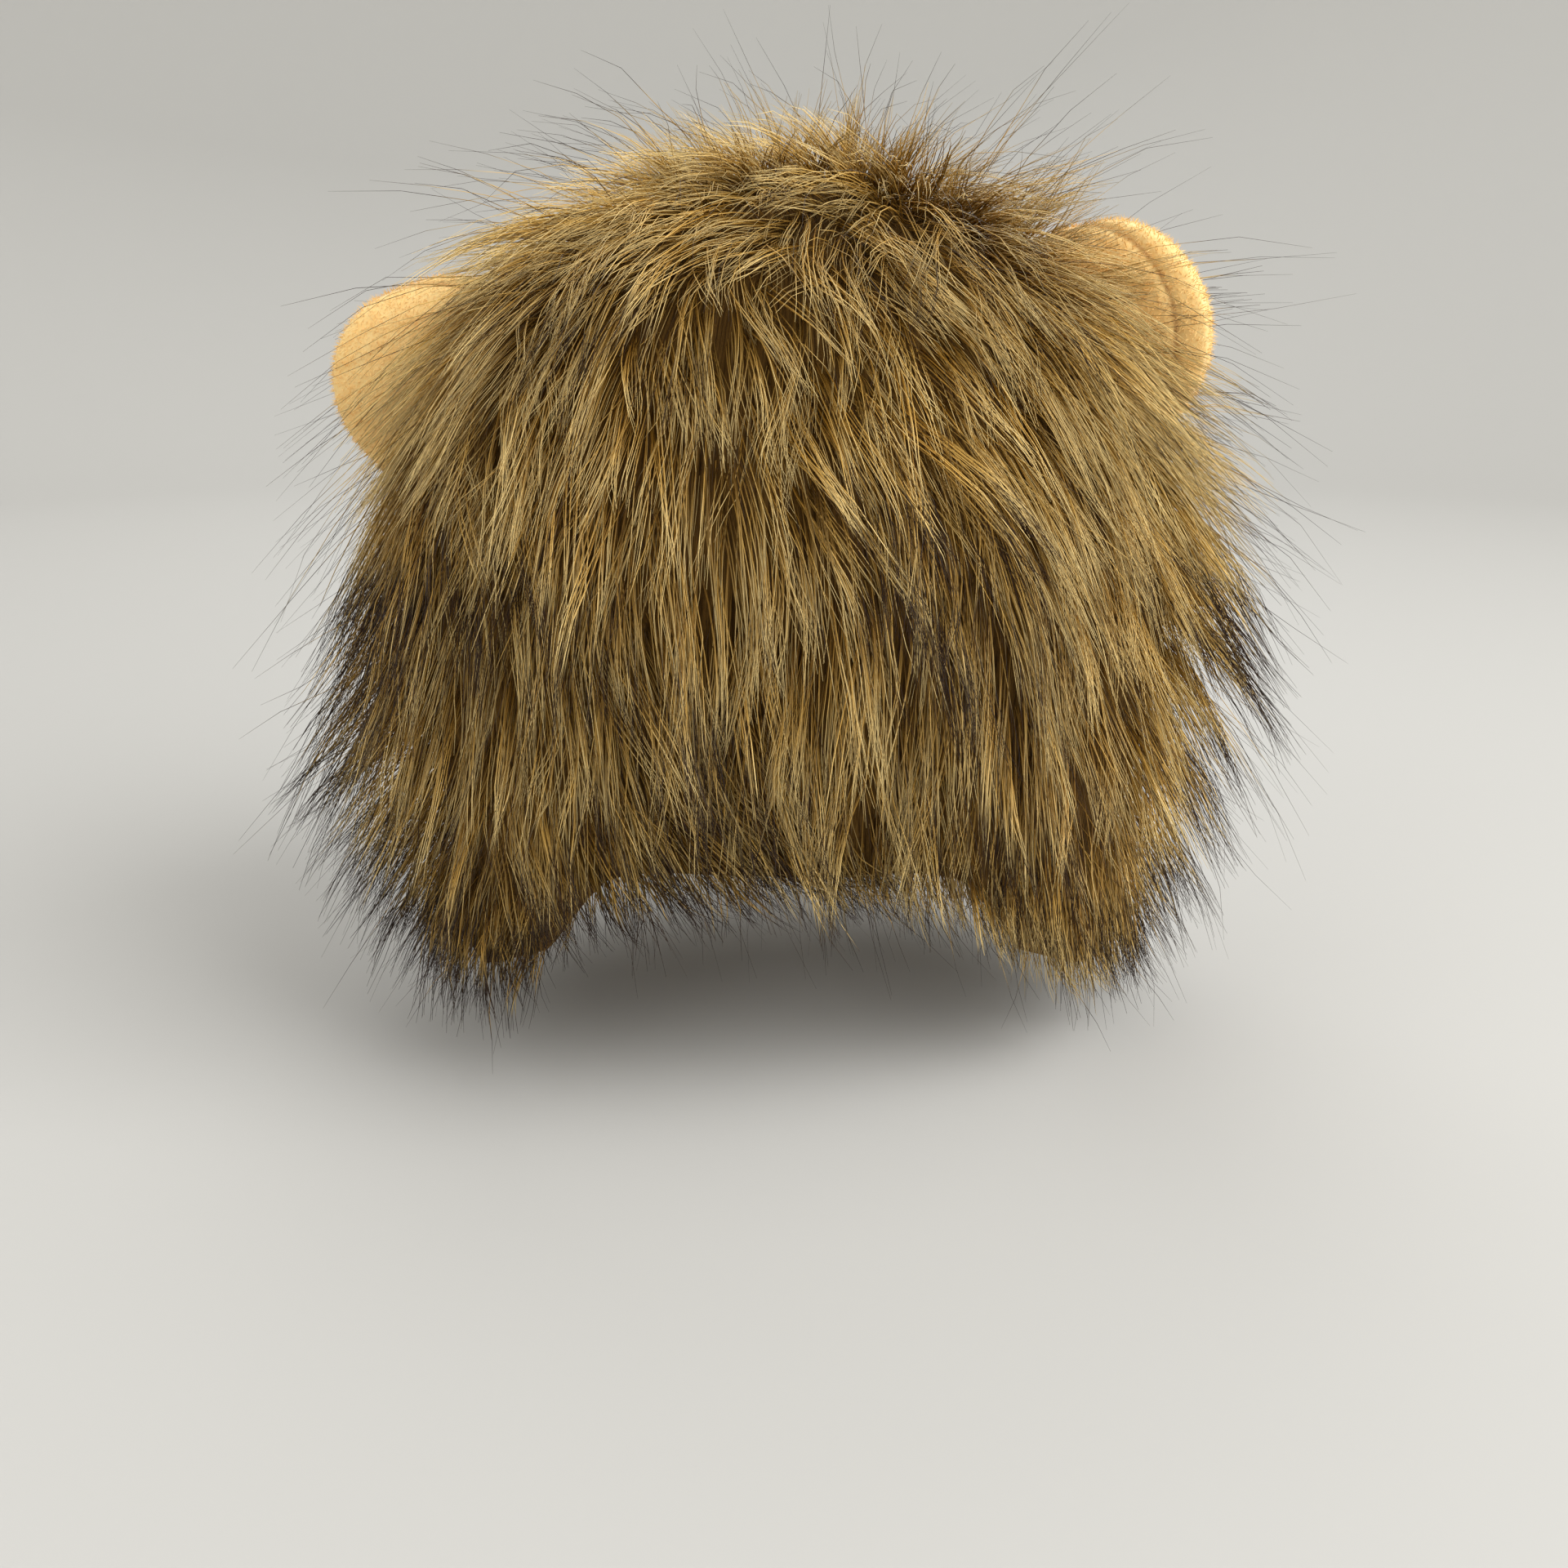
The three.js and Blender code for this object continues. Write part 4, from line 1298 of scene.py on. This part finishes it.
        fan = add(RANDOM, {0: minus, 1: one, 7: tuft, 8: seeds[2]}, data_type="FLOAT_VECTOR")
        squared = add(MATH, {0: factor, 1: 2.0}, operation="POWER")
        far = add(MATH, {0: squared, 1: given["Splay"]}, operation="MULTIPLY")
        fanned = add(VECTOR_MATH, {0: fan.outputs[0], 3: far}, operation="SCALE")
        where = add(POSITION)
        parted = add(VECTOR_MATH, {0: fan.outputs[0], 3: 0.02}, operation="SCALE")
        between = add(VECTOR_MATH, {0: own.outputs[0], 3: 0.004}, operation="SCALE")
        offset = add(VECTOR_MATH, {0: parted, 1: between}, operation="ADD")
        aside = add(VECTOR_MATH, {0: where, 1: offset}, operation="ADD")
        waves = add(NOISE, {"Vector": aside, "Scale": 75.0, "Detail": 1.0})
        centred = add(VECTOR_MATH, {0: waves.outputs["Color"], 1: (0.5, 0.5, 0.5)}, operation="SUBTRACT")
        wavy = add(MATH, {0: factor, 1: given["Frizz"]}, operation="MULTIPLY")
        frizz = add(VECTOR_MATH, {0: centred, 3: wavy}, operation="SCALE")
        rooted = add(VECTOR_MATH, {0: shift, 1: apart}, operation="ADD")
        partly = add(VECTOR_MATH, {0: rooted, 1: fanned}, operation="ADD")
        moved = add(VECTOR_MATH, {0: partly, 1: frizz}, operation="ADD")
        laid = add("GeometryNodeSetPosition", {"Geometry": numbered.outputs["Geometry"], "Offset": moved})
        ragged = add(RANDOM, {2: 0.84, 3: 1.0, 7: strand, 8: seeds[3]}, data_type="FLOAT")
        reach = add(MAP_RANGE, {0: numbered.outputs["tone"], 1: 0.1, 2: 0.75, 3: given["Shortest"], 4: 1.0})
        ends = add(MATH, {0: reach, 1: ragged.outputs[1]}, operation="MULTIPLY")
        trimmed = add("GeometryNodeTrimCurve", {0: laid, 3: ends}, mode="FACTOR")
        even = add("GeometryNodeResampleCurve", {"Curve": trimmed, "Count": given["Points"]}, mode="COUNT")
        along = add(CAPTURE, {0: even}, domain="POINT")
        along.capture_items.new("FLOAT", "along")
        tree.links.new(factor, along.inputs["along"])
        stout = add(RANDOM, {2: 0.36, 3: 0.58, 7: strand, 8: seeds[4]}, data_type="FLOAT")
        girth = add(MATH, {0: stout.outputs[1], 1: given["Width"]}, operation="MULTIPLY")
        taper = add(MAP_RANGE, {0: along.outputs["along"], 1: 0.35, 2: 1.0, 3: 1.0, 4: 0.2})
        thick = add(MATH, {0: girth, 1: taper}, operation="MULTIPLY")
        profile = add("GeometryNodeCurvePrimitiveCircle", {"Resolution": 3, "Radius": 1.0}, mode="RADIUS")
        ringed = add(CAPTURE, {0: profile}, domain="POINT")
        ringed.capture_items.new("FLOAT", "around")
        tree.links.new(factor, ringed.inputs["around"])
        tubes = add("GeometryNodeCurveToMesh", {
            "Curve": along.outputs["Geometry"], "Profile Curve": ringed.outputs["Geometry"], "Scale": thick,
            "Fill Caps": True})
        around = ringed.outputs["around"]
        side = add(MATH, {0: around, 1: 0.014, 2: 0.015}, operation="MULTIPLY_ADD")
        u = add(MATH, {0: numbered.outputs["tone"], 1: 0.96, 2: side}, operation="MULTIPLY_ADD")
        third = add(MATH, {0: around, 1: 3.0}, operation="MULTIPLY")
        peak = add(MATH, {0: third, 1: 1.0}, operation="PINGPONG")
        skew = add(MATH, {0: peak, 1: 0.012, 2: 0.008}, operation="MULTIPLY_ADD")
        length = add(MATH, {0: along.outputs["along"], 1: 0.97, 2: skew}, operation="MULTIPLY_ADD")
        banded = add(MATH, {0: length, 1: numbered.outputs["shade"]}, operation="ADD")
        v = add(MATH, {0: banded, 1: given["Shades"]}, operation="DIVIDE")
        spot = add(COMBINE, {0: u, 1: v})
        stored = add("GeometryNodeStoreNamedAttribute", {"Geometry": tubes, "Name": BAKE_MAP, "Value": spot},
                     data_type="FLOAT2", domain="CORNER")
        rounded = add("GeometryNodeSetShadeSmooth", {"Geometry": stored})
        real = add(REALIZE, {0: rounded})
        dressed = add(SET_MATERIAL, {"Geometry": real, "Material": given["Material"]})
        add("NodeGroupOutput", {0: dressed})
        return tree

    def settle(self, mesh: bpy.types.Mesh, points: int) -> None:
        """Lays strands that would run through an ear over it, and draws in those that reach too far out.

        Args:
            mesh: Strands of three sides.
            points: How many rings of corners each strand has.
        """
        co = np.empty(len(mesh.vertices) * 3, np.float32)
        mesh.vertices.foreach_get("co", co)
        rings = co.reshape(-1, points, 3, 3).astype(float)
        middle = rings.mean(axis=2)
        free = middle
        for ear in self.ears:
            free = ear.clear(free, self.ear_margin)
        lowest, highest = (np.array(corner) for corner in CAD_BOX)
        root = free[:, :1]
        reach = free - root
        room = np.where(reach > 0, highest + self.overhang - root, root - lowest + self.overhang)
        share = (room / np.maximum(np.abs(reach), 1e-9)).min(axis=(1, 2))
        free = root + reach * np.clip(share, 0.2, 1.0)[:, None, None]
        rings += (free - middle)[:, :, None, :]
        mesh.vertices.foreach_set("co", rings.astype(np.float32).reshape(-1))
        mesh.update()

    def underfur(self) -> bpy.types.Object:
        """Makes the layer of dense fur that the locks root in.

        Returns:
            The finished piece.
        """
        start = self.form.wall + self.form.gap
        mesh = self.form.wall_mesh(
            lambda azimuth, fall: start + np.maximum(self.bulk(azimuth, fall) - 5.5 * MM, 1.5 * MM),
            lambda azimuth, fall: np.full(np.shape(fall), start), 3 * MM, (96, 44), 1.05)
        mesh.materials.append(self.under_finish.material())
        return finish_piece(add_object("mane_underfur", mesh), Slot.FUR, "mane")

    def build(self) -> list[bpy.types.Object]:
        """Makes the mane.

        Returns:
            The finished pieces.
        """
        rng = np.random.default_rng(self.seed)
        roots = self.lock_roots(rng)
        lines, tone, region = self.guides(rng, roots)
        LOG.info("mane: %d locks", len(lines))
        tree, material = self.strand_tree(), self.finish.material()
        shades = len(self.finish.shades)
        pieces = [self.underfur()]
        for number, part in enumerate(Region):
            chosen = region == part.name
            mesh = run_nodes("locks", self.guide_mesh(lines[chosen], tone[chosen]), tree, {
                "Strands": self.strands, "Tuft": self.tuft, "Points": self.strand_points, "Spread": 5.4 * MM,
                "Tuft Spread": 2 * MM, "Clump": 0.4, "Splay": 4.2 * MM, "Frizz": 8 * MM, "Shortest": 0.72,
                "Width": self.strand_width, "Tone Spread": 0.45, "Shades": shades, "Seed": 10 * number,
                "Material": material})
            self.settle(mesh, self.strand_points)
            pieces.append(finish_piece(add_object(f"mane_{part.value}", mesh), Slot.FUR, "mane"))
        loose = rng.uniform(size=len(lines)) < self.guard_share
        roots = tuple(column[loose] for column in roots)
        lines, tone, _ = self.guides(rng, roots, raised=self.guard_raised, stretched=self.guard_stretched)
        mesh = run_nodes("guard_hair", self.guide_mesh(lines, np.clip(tone + 0.5, 0.85, 1.0)), tree, {
            "Strands": 4, "Tuft": 1, "Points": self.guard_points, "Spread": 7 * MM, "Tuft Spread": 1 * MM,
            "Clump": 0.9, "Splay": 8 * MM, "Frizz": 10 * MM, "Shortest": 0.8, "Width": self.guard_width,
            "Tone Spread": 0.3, "Shades": shades, "Seed": self.guard_seed, "Material": material})
        self.settle(mesh, self.guard_points)
        pieces.append(finish_piece(add_object("mane_guard_hair", mesh), Slot.FUR, "mane"))
        return pieces


@dataclass(frozen=True)
class Studio:
    """A pale floor that curves up to a wall, soft light and the camera."""

    floor_radius: float = 1.0
    bend: float = 0.5
    wall_height: float = 0.75
    floor_code: int = 0xC5C4C0
    floor_gap: float = 3 * MM  # below the hat
    bend_steps: int = 12
    room_colour: tuple[float, ...] = (1.0, 0.985, 0.96, 1.0)
    room_strength: float = 0.65
    # Name, place, size and power of each lamp
    lamps: tuple[tuple, ...] = (
        ("window", (-0.85, 0.6, 0.8), 1.0, 18.5),
        ("fill", (0.9, 0.8, 0.5), 0.9, 3.0),
        ("front_fill", (0.2, -0.9, 0.7), 0.9, 3.4),
    )
    aim: Vector = field(default_factory=lambda: Vector((0, 0, -0.07)))
    distance: float = 0.365
    elevation: float = math.radians(10)
    pitch: float = math.radians(17)
    view_angle: float = math.radians(49.6)

    def camera(self) -> None:
        """Sets the camera up behind the hat and a little above it."""
        lens = bpy.data.cameras.new("camera")
        lens.sensor_width = 36
        lens.lens = 18 / math.tan(self.view_angle / 2)
        lens.clip_start = 0.01
        view = bpy.data.objects.new("camera", lens)
        away = Vector((0, math.cos(self.elevation), math.sin(self.elevation)))
        view.location = self.aim + self.distance * away
        view.rotation_euler = (math.pi / 2 - self.pitch, 0, math.pi)
        bpy.context.scene.collection.objects.link(view)
        bpy.context.scene.camera = view

    def floor(self, level: float) -> bpy.types.Object:
        """Lays the floor.

        Args:
            level: Its height.

        Returns:
            The floor.
        """
        profile = [(0.0, 0.0), (self.floor_radius, 0.0)]
        for k in range(1, self.bend_steps + 1):
            turn = math.pi / 2 * k / self.bend_steps
            profile.append((self.floor_radius + self.bend * math.sin(turn), self.bend * (1 - math.cos(turn))))
        profile.append((self.floor_radius + self.bend, self.wall_height))
        build = bmesh.new()
        path = [build.verts.new((r, 0, level + z)) for r, z in profile]
        edges = [build.edges.new(pair) for pair in zip(path, path[1:])]
        bmesh.ops.spin(build, geom=path + edges, cent=(0, 0, 0), axis=(0, 0, 1), angle=2 * math.pi, steps=64,
                       use_merge=True)
        bmesh.ops.remove_doubles(build, verts=build.verts, dist=1e-5)
        bmesh.ops.recalc_face_normals(build, faces=build.faces)
        for face in build.faces:
            face.smooth = True
        mesh = new_mesh("floor", build)
        made, tree = new_material("matt_painted_floor", {"Roughness": 0.8, "Specular IOR Level": 0.0})
        tree.nodes[SHADER].inputs["Base Color"].default_value = linear(self.floor_code)
        mesh.materials.append(made)
        laid = add_object("floor", mesh)
        return laid

    def lights(self) -> None:
        """Hangs the soft lamps and sets the room's own light."""
        world = bpy.data.worlds.new("room")
        world.use_nodes = True
        for number, value in enumerate((self.room_colour, self.room_strength)):
            world.node_tree.nodes["Background"].inputs[number].default_value = value
        bpy.context.scene.world = world
        for name, place, size, power in self.lamps:
            lamp = bpy.data.lights.new(name, "AREA")
            lamp.size = size
            lamp.energy = power
            made = bpy.data.objects.new(name, lamp)
            made.location = place
            made.rotation_euler = (self.aim - Vector(place)).to_track_quat("-Z", "Y").to_euler()
            bpy.context.scene.collection.objects.link(made)
        bpy.context.scene.view_settings.view_transform = "Standard"


def main() -> None:
    """Builds the hat and its studio in order."""
    logging.basicConfig(level=logging.INFO, format="%(name)s %(message)s")
    form = HoodForm()
    studio = Studio()
    studio.camera()
    studio.lights()
    studio.floor(CAD_BOX[0][2] - studio.floor_gap)
    rng = np.random.default_rng(EAR_SEED)
    Hood(form).build()
    ChinTab(form).build()
    ears = [
        Ear(form, "left", 1, out=69 * MM, drop=33 * MM, forward=9 * MM, elevation=22, lean=6, twist=-4,
            seam_shift=(0.06, 0.1)),
        Ear(form, "right", -1, out=64 * MM, drop=22 * MM, forward=9 * MM, elevation=33, lean=30, twist=10,
            seam_shift=(0.11, -0.17)),
    ]
    for ear in ears:
        ear.build(rng)
    Mane(form, ears).build()


if __name__ == "__main__":
    main()
